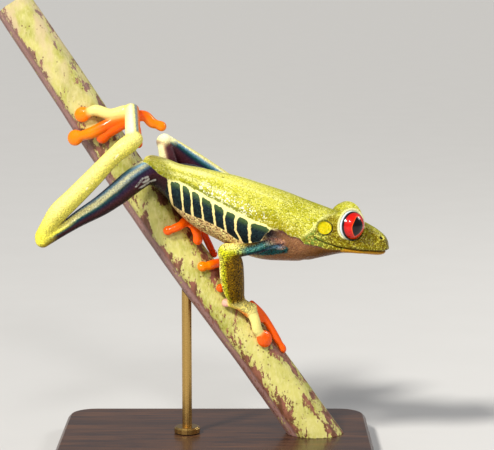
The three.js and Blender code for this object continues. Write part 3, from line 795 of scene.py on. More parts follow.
def putValues(piece, name, values):
    values = np.asarray(values, np.float32)
    kind = {1: "FLOAT", 3: "FLOAT_VECTOR", 4: "FLOAT_COLOR"}[values.shape[1] if values.ndim > 1 else 1]
    attribute = piece.data.attributes.new(name, kind, "POINT")
    attribute.data.foreach_set({"FLOAT": "value", "FLOAT_VECTOR": "vector", "FLOAT_COLOR": "color"}[kind],
                               values.ravel())


skinMesh = {
    "step": 0.21,  # mm between the net's samples
    "triangles": 188000,
    "low": (-43.5, -24, 21.5),
    "high": (44, 24.5, 89),
}


def makeSkin():
    points, faces = netOf(skinDistance, skinMesh["low"], skinMesh["high"], skinMesh["step"])
    points = settle(points, skinDistance, 1)
    piece = meshOf("frogSkin", points, faces)
    print("  net:", len(faces) * 2, "triangles")
    if len(faces) * 2 > skinMesh["triangles"]:
        thinned = piece.modifiers.new("thinned", "DECIMATE")
        thinned.ratio = skinMesh["triangles"] / (len(faces) * 2)
        settled(piece)
    points = settle(pointsOf(piece).astype(np.float64), skinDistance, 1)
    piece.data.vertices.foreach_set("co", (points * mm).astype(np.float32).ravel())
    piece.data.update()
    piece.data.shade_smooth()
    return piece


# Where the markings lie on the trunk: x and z, seen from the side, the same on both sides.
markings = {
    "greenEdge": [(-18.0, 73.4), (-16.2, 72.4), (-14.7, 71.4), (-13.5, 70.3), (-12.1, 69.4), (-10.9, 69.0),
                  (-7.8, 68.2), (-5.1, 66.9), (-3.1, 65.9), (-1.4, 64.9), (0.3, 64.2), (3.0, 62.8),
                  (5.9, 61.4), (8.4, 60.1), (11.4, 58.9), (13.1, 58.0), (16.1, 56.9), (17.9, 55.8),
                  (19.7, 55.5), (20.4, 54.9), (21.1, 54.2), (23.0, 53.8), (25.5, 53.3), (27.6, 52.7),
                  (29.4, 52.5), (30.8, 52.8), (31.9, 52.7), (34.3, 52.25), (37.3, 51.8), (39.5, 51.5),
                  (44.0, 51.35)],
    "cellTops": [(-17, 69.0), (-11.4, 69.0), (-7.8, 67.9), (-3.1, 65.2), (0.3, 63.4), (3.0, 61.9),
                 (5.9, 60.6), (8.4, 59.4), (11.4, 58.4), (13.1, 57.7), (17.9, 55.2), (22, 53.6)],
    "bellyEdge": [(-17, 64.5), (-10.3, 62.8), (-7.4, 61.2), (-3.1, 59.7), (1.7, 57.6), (5.4, 54.9),
                  (8.4, 53.4), (10.6, 54.4), (12.2, 56.6), (13.4, 57.6), (16.1, 56.6), (17.9, 55.5),
                  (19.7, 55.2), (20.4, 54.6), (21.1, 53.9), (23.0, 53.4), (44.0, 51.0)],
    "bars": [[(-10.8, 70), (-10.5, 66), (-9.9, 62.5)], [(-7.9, 69), (-7.5, 65), (-7.3, 61)],
             [(-5.9, 68), (-5.4, 65), (-5.1, 60)], [(-3.4, 66.5), (-3.1, 63.5), (-2.5, 59)],
             [(-0.8, 65.5), (-0.2, 62), (0.3, 58)], [(2.6, 63), (2.3, 60), (2.7, 57)],
             [(5.7, 61.5), (5.0, 59.6), (4.9, 57.4), (6.8, 54)], [(8.8, 60.4), (8.0, 58.4), (8.2, 54.5)]],
    "cellSpacing": 2.5,
    "barHalf": 0.25,
    "cellRounding": 1.1,
    "cellFoot": 0.35,  # rounding of the cells' lower ends
    "chestPatch": [(10.0, 52.0), (13.4, 52.1), (16.4, 52.7)],
    # painted highlights along wet streaks: how much narrower than the widest, and the line, from the side
    "wet": [(0.1, [(-2.5, 67.2), (3.0, 64.8), (7.5, 62.4)]), (0.7, [(7.5, 62.4), (12.0, 60.4)])],
    # short lines of light on the wet thigh and shank, from the side
    "gleam": [[(-18.2, 67.7), (-16.7, 69.5), (-15.6, 69.7)], [(-17.4, 67.2), (-15.4, 68.3), (-13.9, 68.8)],
              [(-16.5, 68.5), (-15.4, 69.1)],
              [(-22.0, 75.8), (-22.9, 74.8)], [(-27.6, 69.6), (-27.9, 69.3)], [(-29.0, 68.2), (-29.3, 67.9)]],
    "lipFrom": 29.6,
    "lipHigh": 1.15,
    "mouthFrom": 22.5,
    # the edge above which the head is bright; below it the side is painted darker, partly as shade
    "brightHead": [(18.5, 54.6), (19.8, 55.6), (21.5, 56.2), (23.2, 57.4), (24.2, 58.6), (25.4, 59.7),
                   (27.4, 60.4), (29.5, 60.6), (33.0, 60.2), (35.0, 58.4), (37.4, 56.9), (39.7, 55.4),
                   (42, 54.2)],
}

# Bands of colour round each bone: "up" is the direction that 1 stands for and -1 is the far side. Each
# row holds the place along the bone, 0 to 1, and the colours from -1 to 1.
bands = {
    "leg_right": {
        # the cream and milk band along the thigh's upper middle is a painted highlight streak
        "thigh": {"up": (-0.43, 0.1, 0.9), "rows": [
            (0.0, "-1 black, -0.4 maroon, 0.1 purple, 0.5 navy, 0.75 sky, 0.9 cream, 1 leaf"),
            (0.12, "-1 black, -0.4 maroon, 0.1 purple, 0.4 navy, 0.6 teal, 0.8 sky, 0.95 cream, 1 cream"),
            (0.28, "-1 black, -0.5 maroon, -0.1 purple, 0.15 navy, 0.34 sky, 0.5 milk, "
                   "0.62 milk, 0.76 sky, 0.9 teal, 1 navy"),
            (0.5, "-1 black, -0.5 maroon, -0.15 navy, 0.12 teal, 0.28 cream, "
                  "0.56 milk, 0.76 sky, 0.94 navy, 1 navy"),
            (0.75, "-1 black, -0.5 maroon, -0.25 navy, 0.0 teal, 0.16 cream, 0.6 straw, 0.85 sky, 1 navy"),
            (0.9, "-1 black, -0.45 maroon, -0.25 teal, -0.05 lemon, 1 lemon"),
            (1.0, "-1 olive, -0.3 lemon, 1 lemon")]},
        "shank": {"up": (-0.5, -1.0, 0.5), "rows": [
            (0.0, "-1 olive, -0.3 hay, 1 lemon"),
            (0.3, "-1 purple, -0.55 navy, -0.4 olive, -0.2 hay, 0.5 hay, 1 straw"),
            (0.9, "-1 purple, -0.6 sky, -0.4 hay, 0.4 hay, 1 straw"),
            (1.0, "-1 straw, -0.6 straw, -0.4 hay, 1 straw")]},
        "tarsus": {"up": (-1, -0.3, 0), "rows": [
            (0.0, "-1 orange, -0.8 amber, -0.62 greyBlue, -0.4 greyBlue, -0.25 straw, 0.2 milk, 1 cream"),
            (1.0, "-1 orange, -0.8 amber, -0.6 greyBlue, -0.35 greyBlue, -0.2 straw, 0.3 milk, 1 straw")]},
        "foot": {"up": (0.2, -0.6, 0.8), "rows": [
            (0.0, "-1 orange, -0.2 lemon, 1 lemon"),
            (1.0, "-1 orange, -0.1 amber, 0.5 lemon, 1 lemon")]},
    },
    "arm_right": {
        "upper_arm": {"up": (0, -0.5, 1), "rows": [
            (0.0, "-1 tan, -0.3 pink, 0.3 maroon, 0.6 pink, 1 purple"),
            (0.2, "-1 navy, -0.6 teal, -0.1 sky, 0.25 navy, 0.6 tan, 1 maroon"),
            (0.42, "-1 black, -0.5 black, 0.0 navy, 0.3 teal, 0.55 steel, 0.75 teal, 1 black"),
            (0.72, "-1 black, -0.4 navy, 0.1 teal, 0.4 steel, 0.65 teal, 1 darkOlive"),
            (0.88, "-1 darkOlive, -0.2 olive, 0.4 leaf, 1 straw"),
            (1.0, "-1 olive, 0 leaf, 0.6 leaf, 1 straw")]},
        "forearm": {"up": (-1, -0.1, 0), "rows": [
            (0.0, "-1 darkOlive, -0.1 olive, 0.5 leaf, 0.9 straw, 1 cream"),
            (0.2, "-1 olive, -0.4 darkOlive, 0.5 olive, 0.8 leaf, 0.93 lemon, 1 cream"),
            (1.0, "-1 olive, -0.4 darkOlive, 0.5 olive, 0.8 leaf, 0.93 lemon, 1 cream")]},
        "hand": {"up": (0.4, -0.4, 0.8), "rows": [
            (0.0, "-1 orange, -0.45 straw, 0.4 straw, 1 olive"),
            (1.0, "-1 orange, -0.45 amber, -0.2 straw, 1 straw")]},
    },
    "leg_left": {
        "thigh": {"up": (0, 0.3, 1), "rows": [
            (0.0, "-1 maroon, 0.3 purple, 1 maroon"),
            (0.5, "-1 maroon, 0.2 purple, 0.6 navy, 1 teal"),
            (0.8, "-1 maroon, 0.0 navy, 0.4 teal, 0.7 cream, 1 leaf"),
            (1.0, "-1 olive, 0 lemon, 1 lemon")]},
        "shank": {"up": (0.35, 0.1, 0.9), "rows": [
            (0.0, "-1 olive, 0 lemon, 1 lemon"),
            (0.25, "-1 black, -0.5 maroon, 0.2 purple, 0.45 navy, 0.6 teal, 0.76 sky, 0.84 cream, 1 lemon"),
            (0.9, "-1 black, -0.5 maroon, 0.2 maroon, 0.4 navy, 0.58 teal, 0.74 sky, 0.82 cream, 1 lemon"),
            (0.96, "-1 maroon, 0.1 maroon, 0.35 steel, 0.6 cream, 1 milk"),
            (1.0, "-1 maroon, -0.3 tan, 0.0 cream, 1 milk")]},
        "tarsus": {"up": (-0.9, -0.3, -0.2), "rows": [
            (0.0, "-1 maroon, -0.3 tan, 0.0 cream, 1 milk"),
            (0.18, "-1 maroon, 0.0 maroon, 0.3 tan, 0.65 cream, 1 cream"),
            (1.0, "-1 maroon, 0.2 maroon, 0.6 tan, 1 cream")]},
        "foot": {"up": (0.3, 0.6, 0.7), "rows": [
            (0.0, "-1 orange, 0 pink, 1 leaf"),
            (1.0, "-1 orange, 0 orange, 1 amber")]},
    },
    "arm_left": {
        "upper_arm": {"up": (0, 0.5, 1), "rows": [
            (0.0, "-1 navy, 0.1 teal, 0.7 purple, 1 navy"),
            (0.7, "-1 navy, 0.2 teal, 0.7 olive, 1 leaf"),
            (1.0, "-1 lemon, 1 lemon")]},
        "forearm": {"up": (0.5, 0.8, 0.2), "rows": [
            (0.0, "-1 olive, 0 leaf, 1 leaf"),
            (1.0, "-1 orange, -0.2 leaf, 1 leaf")]},
        "hand": {"up": (0, 0.5, 1), "rows": [
            (0.0, "-1 orange, 0 orange, 1 leaf"),
            (1.0, "-1 orange, 0 orange, 1 amber")]},
    },
}

# Each digit's colours: at its root, at its pad, and where along it the change comes.
digitColours = {
    "leg_right": [("orange", "amber", 0.3), ("orange", "orange", 0.5), ("orange", "orange", 0.5),
                  ("orange", "amber", 0.4), ("straw", "amber", 0.74)],
    "arm_right": [("lemon", "pink", 0.5), ("orange", "orange", 0.5), ("orange", "orange", 0.3),
                  ("straw", "orange", 0.76)],
    "leg_left": [("orange", "orange", 0.5), ("orange", "orange", 0.5), ("deepOrange", "deepOrange", 0.5),
                 ("orange", "orange", 0.5), ("orange", "orange", 0.5)],
    "arm_left": [("orange", "orange", 0.5), ("orange", "orange", 0.5), ("orange", "orange", 0.5),
                 ("orange", "amber", 0.5)],
}

# How grainy the skin over each bone is; below 0 it is smooth and wet, as on the digits and webs.
granular = {"forearm": 1.0, "upper_arm": 0.9, "thigh": 0.35, "shank": 0.3, "hand": 0.6, "tarsus": 0.2,
            "foot": 0.2, "digit": -1.0}
limbPaint = {"blend": 0.16, "sole": 0.8}  # mm over which colours blend, and how orange the soles are


def bandColour(level, text):
    stops = [stop.split() for stop in text.split(", ")]
    colours = np.array([palette[name] for _, name in stops])
    return np.stack([np.interp(level, [float(at) for at, _ in stops], colours[:, c]) for c in range(3)], 1)


def boneColour(along, facing, spec):
    level = facing @ unit(spec["up"]).astype(np.float32)
    rows = spec["rows"]
    colour = bandColour(level, rows[0][1])
    for before, after in zip(rows, rows[1:]):
        share = np.clip((along - before[0]) / (after[0] - before[0]), 0, 1)[:, None]
        colour = np.where(share > 0, bandColour(level, before[1]) * (1 - share)
                          + bandColour(level, after[1]) * share, colour)
    return colour


def paintLimbs(points, trunk):
    # colour of the limbs' skin, how far inside a limb's flesh a point is (mm), and its grain
    colour = np.zeros((len(points), 3))
    grain = np.zeros(len(points))
    weight = np.full(len(points), 1e-12)
    closest = np.full(len(points), far)

    def add(pick, d, tint, rough):
        share = np.exp(-np.clip(d, -0.5, 3) / limbPaint["blend"])
        colour[pick] += tint * share[:, None]
        grain[pick] += rough * share
        weight[pick] += share
        closest[pick] = np.minimum(closest[pick], d)

    for limb, spec in limbs.items():
        for name, chain in spec["chains"].items():
            pick, d, along, facing = chainDistance(points, chain, 3, True)
            add(pick, d, boneColour(along, facing, bands[limb][name]), granular[name])
        for digit, (root, end, change) in zip(spec["digits"], digitColours[limb]):
            pick, d, along, facing = chainDistance(points, digit["chain"], 1.5, True)
            pad = padDistance(points[pick], digit)
            share = ease(change - 0.14, change + 0.1, np.where(pad < d, 1, along))[:, None]
            under = ease(0.0, -0.5, facing @ digit["back"].astype(np.float32))[:, None]
            tint = palette[root] * (1 - share) + palette[end] * share
            tint = tint * (1 - limbPaint["sole"] * under) + palette["orange"] * limbPaint["sole"] * under
            add(pick, np.minimum(d, pad), tint, granular["digit"])
        for rows in spec["webs"]:
            pick = near(points, rows.reshape(-1, 3), webReach)
            d = webDistance(points[pick], rows)
            tint = palette["orange"] if "arm" in limb or rows is not spec["webs"][-1] else palette["olive"]
            add(pick, d + 0.1, tint[None].repeat(len(pick), 0), granular["digit"])
    return colour / weight[:, None], trunk - closest, grain / weight


def above(q, line):
    # height over a line seen from the side, measured square to it
    line = np.array(line)
    height = np.interp(q[:, 0], line[:, 0], line[:, 1])
    slope = np.interp(q[:, 0], (line[1:, 0] + line[:-1, 0]) / 2, np.diff(line[:, 1]) / np.diff(line[:, 0]))
    return (q[:, 2] - height) / np.sqrt(1 + slope**2)


def barPlace(q):
    # grows by 1 from each bar between two cells to the next one
    bars = [np.array(bar)[::-1] for bar in markings["bars"]]
    across = [np.interp(q[:, 2], bar[:, 1], bar[:, 0]) for bar in bars]
    across = [across[0] - 2.6] + across + [across[-1] + 6.0]
    return sum(np.clip((q[:, 0] - before) / (after - before), 0, 1)
               for before, after in zip(across, across[1:]))


def paintSkin(piece):
    points = pointsOf(piece)
    q = points.copy()
    q[:, 1] = np.abs(q[:, 1] - middle)
    side = q[:, [0, 2]]
    trunk = trunkShape(q)
    tint, limbDepth, grain = paintLimbs(points, trunk)
    green = above(q, markings["greenEdge"])
    hip = ease(-9.5, -13.0, q[:, 0]) * ease(0.4, -0.2, green)
    rump = ease(-11.5, -13.5, q[:, 0]) * ease(-0.2, 0.4, green) * ease(3, 1, trunk)
    top = np.interp(q[:, 0], fineX, bodyProfile[:, 0])
    low = np.interp(q[:, 0], *np.array(markings["greenEdge"]).T)
    farSide = far * ease(-3, -1, points[:, 1] - middle)  # the painted highlights and the wet coat are on the right side only
    wet = np.minimum.reduce([lineDistance(side, np.array(line))[0] + dry for dry, line in markings["wet"]])
    gleam = np.minimum.reduce([lineDistance(side, np.array(line))[0] for line in markings["gleam"]])
    height, along = mouthPlace(q)
    lip = np.minimum(-height, height + markings["lipHigh"])
    inMouth = (q[:, 0] > markings["mouthFrom"]) & (along < 0.995)
    drum = np.where(np.abs(q[:, 1] - eardrum["at"][1]) < 3, drumAway(q), far)
    _, ahead, across, up = eyePlace(q)
    lidEdge = np.hypot(np.hypot(across, up) - eye["opening"] - 0.1, ahead - eye["rim"])
    hole = np.linalg.norm(q - np.array(nostril["at"], np.float32), axis=1)
    values = {
        "limbTint": np.concatenate([tint, np.ones((len(tint), 1))], 1),
        "limbDepth": limbDepth + 4 * hip - 1.6 * rump,
        "limbGrain": grain,
        "relief": foldHeight(q),
        "crown": np.clip((q[:, 2] - low) / np.maximum(top - low, 1), 0, 1),
        "green": green,
        "wet": wet + farSide,
        "gleam": gleam + farSide,
        "barPlace": barPlace(q),
        "cellTop": above(q, markings["cellTops"]),
        "belly": -above(q, markings["bellyEdge"]),
        "chestPatch": 1.2 - lineDistance(side, np.array(markings["chestPatch"]))[0],
        "lip": np.where(q[:, 0] > markings["lipFrom"], lip, -far),
        "brightHead": above(q, markings["brightHead"]),
        "mouth": np.where(inMouth, height, far),
        "drum": eardrum["radius"] - np.minimum(drum, far),
        "lidEdge": np.minimum(lidEdge, far),
        "nostril": np.minimum(hole, far),
    }
    for name, value in values.items():
        putValues(piece, name, value)


# What the materials share: small node groups that give out values and colours only.
def socketsOf(group, inputs, outputs):
    for name, kind, value in inputs:
        socket = group.interface.new_socket(name, in_out="INPUT", socket_type="NodeSocket" + kind)
        if value is not None:
            socket.default_value = value
    for name, kind in outputs:
        group.interface.new_socket(name, in_out="OUTPUT", socket_type="NodeSocket" + kind)


class Sketch:
    # shorthand for placing and joining nodes in one tree
    def __init__(self, tree):
        self.tree = tree

    def node(self, kind, **settings):
        made = self.tree.nodes.new(kind)
        for name, value in settings.items():
            setattr(made, name, value)
        return made

    def join(self, kind, inputs, **settings):
        made = self.node(kind, **settings)
        for name, value in inputs.items():
            self.feed(made.inputs[name], value)
        return made

    def feed(self, socket, value):
        if isinstance(value, bpy.types.NodeSocket):
            self.tree.links.new(value, socket)
        elif hasattr(socket.default_value, "__len__") and not hasattr(value, "__len__"):
            socket.default_value = [value] * len(socket.default_value)
        elif hasattr(value, "__len__") and len(socket.default_value) == 4 and len(value) == 3:
            socket.default_value = (*value, 1)
        else:
            socket.default_value = value

    def math(self, operation, a, b=0.0, c=None):
        made = self.node("ShaderNodeMath", operation=operation)
        self.feed(made.inputs[0], a)
        self.feed(made.inputs[1], b)
        if c is not None:
            self.feed(made.inputs[2], c)
        return made.outputs[0]

    def times(self, a, b):
        return self.math("MULTIPLY", a, b)

    def plus(self, a, b):
        return self.math("ADD", a, b)

    def minus(self, a, b):
        return self.math("SUBTRACT", a, b)

    def timesPlus(self, a, b, c):
        return self.math("MULTIPLY_ADD", a, b, c)

    def vector(self, operation, a, b):
        made = self.node("ShaderNodeVectorMath", operation=operation)
        self.feed(made.inputs[0], a)
        self.feed(made.inputs[1], b)
        return made.outputs[0]

    def step(self, value, low, high):
        # 0 below low and 1 above high, eased between
        made = self.node("ShaderNodeMapRange", interpolation_type="SMOOTHSTEP")
        for socket, given in zip(made.inputs, (value, low, high, 0.0, 1.0)):
            self.feed(socket, given)
        return made.outputs[0]

    def scale(self, value, low, high, outLow, outHigh):
        made = self.node("ShaderNodeMapRange")
        for socket, given in zip(made.inputs, (value, low, high, outLow, outHigh)):
            self.feed(socket, given)
        return made.outputs[0]

    def mix(self, share, a, b, blend="MIX"):
        made = self.node("ShaderNodeMix", data_type="RGBA", blend_type=blend)
        self.feed(made.inputs[0], share)
        self.feed(made.inputs[6], a)
        self.feed(made.inputs[7], b)
        return made.outputs[2]

    def attribute(self, name, output="Fac"):
        return self.node("ShaderNodeAttribute", attribute_name=name).outputs[output]

    def noise(self, place, scale, detail=2.0, rough=0.5):
        made = self.join("ShaderNodeTexNoise", {"Vector": place, "Scale": scale, "Detail": detail,
                                                "Roughness": rough})
        return made.outputs["Fac"]

    def cells(self, place, scale, output="Distance"):
        return self.join("ShaderNodeTexVoronoi", {"Vector": place, "Scale": scale}).outputs[output]

    def stretched(self, place, scale, turn=(0, 0, 0)):
        return self.join("ShaderNodeMapping", {"Vector": place, "Rotation": turn, "Scale": scale}).outputs[0]

    def bump(self, shader, height, strength):
        made = self.join("ShaderNodeBump", {"Strength": strength, "Distance": 1.0, "Height": height})
        self.feed(shader.inputs["Normal"], made.outputs["Normal"])

    def use(self, group, **values):
        made = self.node("ShaderNodeGroup")
        made.node_tree = group
        for name, value in values.items():
            self.feed(made.inputs[name], value)
        return made


def startGroup(name, inputs, outputs):
    group = bpy.data.node_groups.new(name, "ShaderNodeTree")
    socketsOf(group, inputs, outputs)
    sketch = Sketch(group)
    given = sketch.node("NodeGroupInput").outputs
    out = sketch.node("NodeGroupOutput").inputs
    return group, sketch, given, out


def makeGranules():
    # rounded grains, packed close: their height, how deep in the seams between them a point lies, and
    # a share that singles out the brighter ones
    group, s, given, out = startGroup(
        "grains", [("Place", "Vector", None), ("Scale", "Float", 2500.0),
                   ("Fine", "Float", 0.4)],
        [("Height", "Float"), ("Seam", "Float"), ("Tone", "Float")])
    away = s.cells(given["Place"], given["Scale"])
    dome = s.minus(1.0, s.times(away, away))
    fine = s.noise(given["Place"], s.times(given["Scale"], 2.3))
    s.feed(out["Height"], s.plus(dome, s.times(fine, given["Fine"])))
    s.feed(out["Seam"], s.step(away, 0.45, 0.8))
    tone = s.node("ShaderNodeSeparateColor")
    s.feed(tone.inputs[0], s.cells(given["Place"], given["Scale"], "Color"))
    s.feed(out["Tone"], s.step(tone.outputs[0], 0.55, 1.0))
    return group


def makeMottle():
    # soft patches: a slow one, a quick one, and sparse specks
    group, s, given, out = startGroup(
        "mottle", [("Place", "Vector", None), ("Scale", "Float", 300.0),
                   ("Speck Share", "Float", 0.2)],
        [("Slow", "Float"), ("Quick", "Float"), ("Specks", "Float")])
    slow = s.noise(given["Place"], given["Scale"], 3.0)
    quick = s.noise(given["Place"], s.times(given["Scale"], 5.0), 3.0, 0.6)
    s.feed(out["Slow"], s.step(slow, 0.35, 0.68))
    s.feed(out["Quick"], s.step(quick, 0.35, 0.68))
    spots = s.join("ShaderNodeTexVoronoi", {"Vector": given["Place"],
                                            "Scale": s.times(given["Scale"], 2.0)})
    keep = s.node("ShaderNodeSeparateColor")
    s.feed(keep.inputs[0], spots.outputs["Color"])
    chosen = s.math("LESS_THAN", keep.outputs[0], given["Speck Share"])
    s.feed(out["Specks"], s.times(s.step(spots.outputs["Distance"], 0.3, 0.15), chosen))
    return group


grains = makeGranules()
mottle = makeMottle()


def startMaterial(name, colour):
    # colour is what a plain viewport shows
    material = bpy.data.materials.new(name)
    material.use_nodes = True
    material.diffuse_color = (*colour, 1)
    sketch = Sketch(material.node_tree)
    shader = material.node_tree.nodes["Principled BSDF"]
    place = sketch.node("ShaderNodeTexCoord").outputs["Object"]
    return material, sketch, shader, place


skinLook = lookOf(
    back=(178, 174, 4),
    # pale yellow: the skin's own pale patches, and the painted highlight on the crown, the rump, bright
    # grains and the nostril's rim
    backPale=(234, 228, 98),
    backGlint=(250, 246, 160),
    backDeep=(112, 112, 1),
    # dark green painted shade in the folds' creases
    crease=(92, 104, 6),
    gold=(156, 138, 3),  # painted shade on the lower shoulder
    bead=(255, 255, 238),  # where the wet skin catches the light
    # olive-gold of the head's side, darkened as painted shade
    headSide=(106, 83, 0),
    headSideDeep=(70, 50, 1),
    jawGreen=(92, 124, 44),
    cream=(250, 240, 156),
    creamLow=(240, 214, 140),
    cellTop=(70, 92, 46),
    cellMiddle=(9, 24, 32),
    cellLow=(4, 6, 13),
    cellSheen=(36, 66, 60),
    belly=(206, 170, 112),
    bellySeam=(98, 60, 27),
    chest=(140, 94, 58),
    chestDark=(84, 50, 44),
    # the throat's pale skin darkened brown: painted shade under the jaw
    throat=(98, 60, 18),
    lip=(184, 130, 28),
    drum=(212, 186, 10),
    lid=(244, 238, 176),
    dark=(24, 16, 6),
    grain=3300.0,  # grains per metre on the back
    bellyGrain=2300.0,
    grainHeight=0.00011,  # metres
    bellyHeight=0.00013,
    bump=0.8,
    wetBump=0.45,  # how much of the grain's height is left where the skin is wet
    # how strongly the painted highlight beads show in the colour
    beads=0.8,
    gleam=0.6,  # how strong the short lines of light are beside the painted highlight beads
    rough=[0.24, 0.42],
    coatRough=0.09,
    coatIor=1.4,
    specular=0.11,
)


# Where the material's shares, among them painted highlight and shade, begin and are full: metres along the
# body, or up for the armpit.
skinPlaces = {
    "crownHighlightTo": (0.024, 0.006),
    "rumpHighlightFrom": (-0.007, -0.015),
    "shoulderShadeFrom": (0.004, 0.013),
    "shoulderShadeTo": (0.0222, 0.019),
    "headFrom": (0.0185, 0.0225),
    "barsTo": (0.0125, 0.0155),
    "armpitHigh": (0.0532, 0.0562),
    "armpitTo": (0.0185, 0.0125),
    "chestFrom": (0.008, 0.013),
    "throatFrom": (0.019, 0.026),
    "jawTo": (0.0282, 0.0236),
}


def makeSkinMaterial():
    material, s, shader, place = startMaterial("skin", palette["leaf"])
    look, marks = skinLook, markings
    patches = s.use(mottle, Place=place, Scale=260.0, **{"Speck Share": 0.04})
    fine = s.use(grains, Place=place, Scale=look["grain"], Fine=0.5)
    coarse = s.use(grains, Place=place, Scale=look["bellyGrain"], Fine=0.25)
    slow, quick = patches.outputs["Slow"], patches.outputs["Quick"]
    tone, seam = fine.outputs["Tone"], fine.outputs["Seam"]
    parts = s.node("ShaderNodeSeparateXYZ")
    s.feed(parts.inputs[0], place)
    lengthways, height = parts.outputs[0], parts.outputs[2]
    ripple = s.times(s.minus(s.noise(place, 700.0, 2.0), 0.5), 0.5)
    tiny = s.times(s.minus(s.noise(place, 2600.0, 2.0), 0.5), 0.5)
    wobble = s.plus(ripple, tiny)  # mm that a colour's edge wanders

    def edge(name, low, high, share=1.0):
        moved = s.timesPlus(wobble, share, s.attribute(name))
        return s.step(moved, low, high)

    # The crown of the back and the rump are painted paler: a painted highlight where the back faces up, mixed
    # with pale patches of the skin's own.
    crown = s.times(edge("crown", 0.4, 0.95, 0.5), s.step(lengthways, *skinPlaces["crownHighlightTo"]))
    rump = s.times(s.step(lengthways, *skinPlaces["rumpHighlightFrom"]), edge("green", 0.3, 1.6))
    crown = s.times(s.math("MAXIMUM", crown, rump), 0.85)
    pale = s.math("MAXIMUM", crown, s.times(slow, 0.5))
    relief = s.attribute("relief")
    back = s.mix(s.times(quick, 0.5), look["back"], look["backDeep"])
    back = s.mix(pale, back, look["backPale"])
    # The folds' creases are painted darker, less so on the rump: painted shade.
    hollow = s.times(s.step(relief, -0.02, -0.3), s.scale(rump, 0.0, 1.0, 0.75, 0.1))
    back = s.mix(hollow, back, look["crease"])
    # The lower shoulder, below the crown and behind the head, is painted darker gold: painted shade.
    shoulder = s.times(s.step(lengthways, *skinPlaces["shoulderShadeFrom"]), edge("crown", 0.5, 0.1, 0.5))
    shoulder = s.times(shoulder, s.step(lengthways, *skinPlaces["shoulderShadeTo"]))
    back = s.mix(s.times(shoulder, 0.75), back, look["gold"])
    # The folds' ridges and the brighter grains are painted paler: painted highlights.
    back = s.mix(s.times(s.step(relief, 0.04, 0.3), 0.55), back, look["backGlint"])
    back = s.mix(s.times(tone, 0.5), back, look["backGlint"])
    seamDepth = s.scale(crown, 0.0, 1.0, 0.75, 0.35)
    back = s.mix(s.times(seam, seamDepth), back, look["backDeep"])
    back = s.mix(s.times(patches.outputs["Specks"], 0.7), back, look["dark"])

    # The head's side below its bright top is darker olive-gold: partly its own colour, partly painted shade;
    # its brighter grains are painted glints.
    side = s.mix(s.times(quick, 0.4), look["headSide"], look["back"])
    side = s.mix(s.times(tone, 0.48), side, look["backPale"])
    side = s.mix(s.times(seam, 0.7), side, look["headSideDeep"])
    jaw = s.mix(quick, look["jawGreen"], look["headSide"])
    jaw = s.mix(s.times(tone, 0.6), jaw, look["backPale"])
    side = s.mix(s.step(s.timesPlus(wobble, 0.003, lengthways), *skinPlaces["jawTo"]), side, jaw)
    bright = edge("brightHead", -0.9, 0.7, 1.6)
    onHead = s.step(lengthways, *skinPlaces["headFrom"])
    upper = s.mix(onHead, back, s.mix(bright, side, back))

    # the flank's dark cells, with cream bars between them
    turn = s.math("FRACT", s.timesPlus(wobble, 0.22, s.attribute("barPlace")))
    barAway = s.minus(0.5, s.math("ABSOLUTE", s.minus(turn, 0.5)))
    barHalf = s.scale(slow, 0.0, 1.0, 0.75 * marks["barHalf"], 1.3 * marks["barHalf"])
    outside = s.minus(barHalf, s.times(barAway, marks["cellSpacing"]))
    tops = s.timesPlus(wobble, 1.0, s.attribute("cellTop"))
    outside = s.math("SMOOTH_MAX", outside, tops, marks["cellRounding"])
    outside = s.math("SMOOTH_MAX", outside, s.attribute("belly"), marks["cellFoot"])
    depth = s.times(s.attribute("cellTop"), -1.0)
    cell = s.mix(s.step(depth, 0.2, 1.7), look["cellTop"], look["cellMiddle"])
    cell = s.mix(s.step(depth, 1.6, 4.2), cell, look["cellLow"])
    cell = s.mix(s.times(quick, 0.2), cell, look["cellSheen"])
    cell = s.mix(s.times(tone, 0.3), cell, look["cellSheen"])
    cream = s.mix(s.step(s.attribute("cellTop"), -2.5, 0.2), look["creamLow"], look["cream"])
    cream = s.mix(s.step(lengthways, *skinPlaces["barsTo"]), cream, look["chestDark"])
    flank = s.mix(s.step(outside, 0.06, -0.06), cream, cell)
    belly = s.mix(s.times(coarse.outputs["Tone"], 0.9), look["belly"], look["cream"])
    belly = s.mix(coarse.outputs["Seam"], belly, look["bellySeam"])
    chest = s.mix(s.times(quick, 0.4), look["chest"], look["chestDark"])
    chest = s.mix(s.times(tone, 0.12), chest, look["belly"])
    shadowed = s.times(s.step(height, *skinPlaces["armpitHigh"]), s.step(lengthways, *skinPlaces["armpitTo"]))
    chest = s.mix(shadowed, chest, look["cellLow"])
    belly = s.mix(s.step(lengthways, *skinPlaces["chestFrom"]), belly, chest)
    reticule = s.mix(coarse.outputs["Seam"], palette["teal"], palette["black"])
    belly = s.mix(edge("chestPatch", -0.2, 0.5, 1.5), belly, reticule)
    # The throat is painted darker brown: painted shade under the jaw.
    belly = s.mix(s.step(lengthways, *skinPlaces["throatFrom"]), belly, look["throat"])
    under = s.mix(edge("belly", -0.2, 0.2), flank, belly)
    under = s.mix(s.step(s.attribute("lip"), -0.2, 0.1), under, look["lip"])
    colour = s.mix(edge("green", -0.12, 0.18, 1.6), under, upper)

    limbTint = s.attribute("limbTint", "Color")
    darker = s.mix(1.0, limbTint, linear(116, 98, 60), "MULTIPLY")
    glint = s.times(tone, s.attribute("limbGrain"))
    lighter = s.mix(1.0, limbTint, (2.3, 2.2, 1.5), "MULTIPLY")
    limbTint = s.mix(glint, limbTint, lighter)
    limbTint = s.mix(s.times(seam, s.attribute("limbGrain")), limbTint, darker)
    colour = s.mix(edge("limbDepth", -0.1, 0.4, 0.5), colour, limbTint)

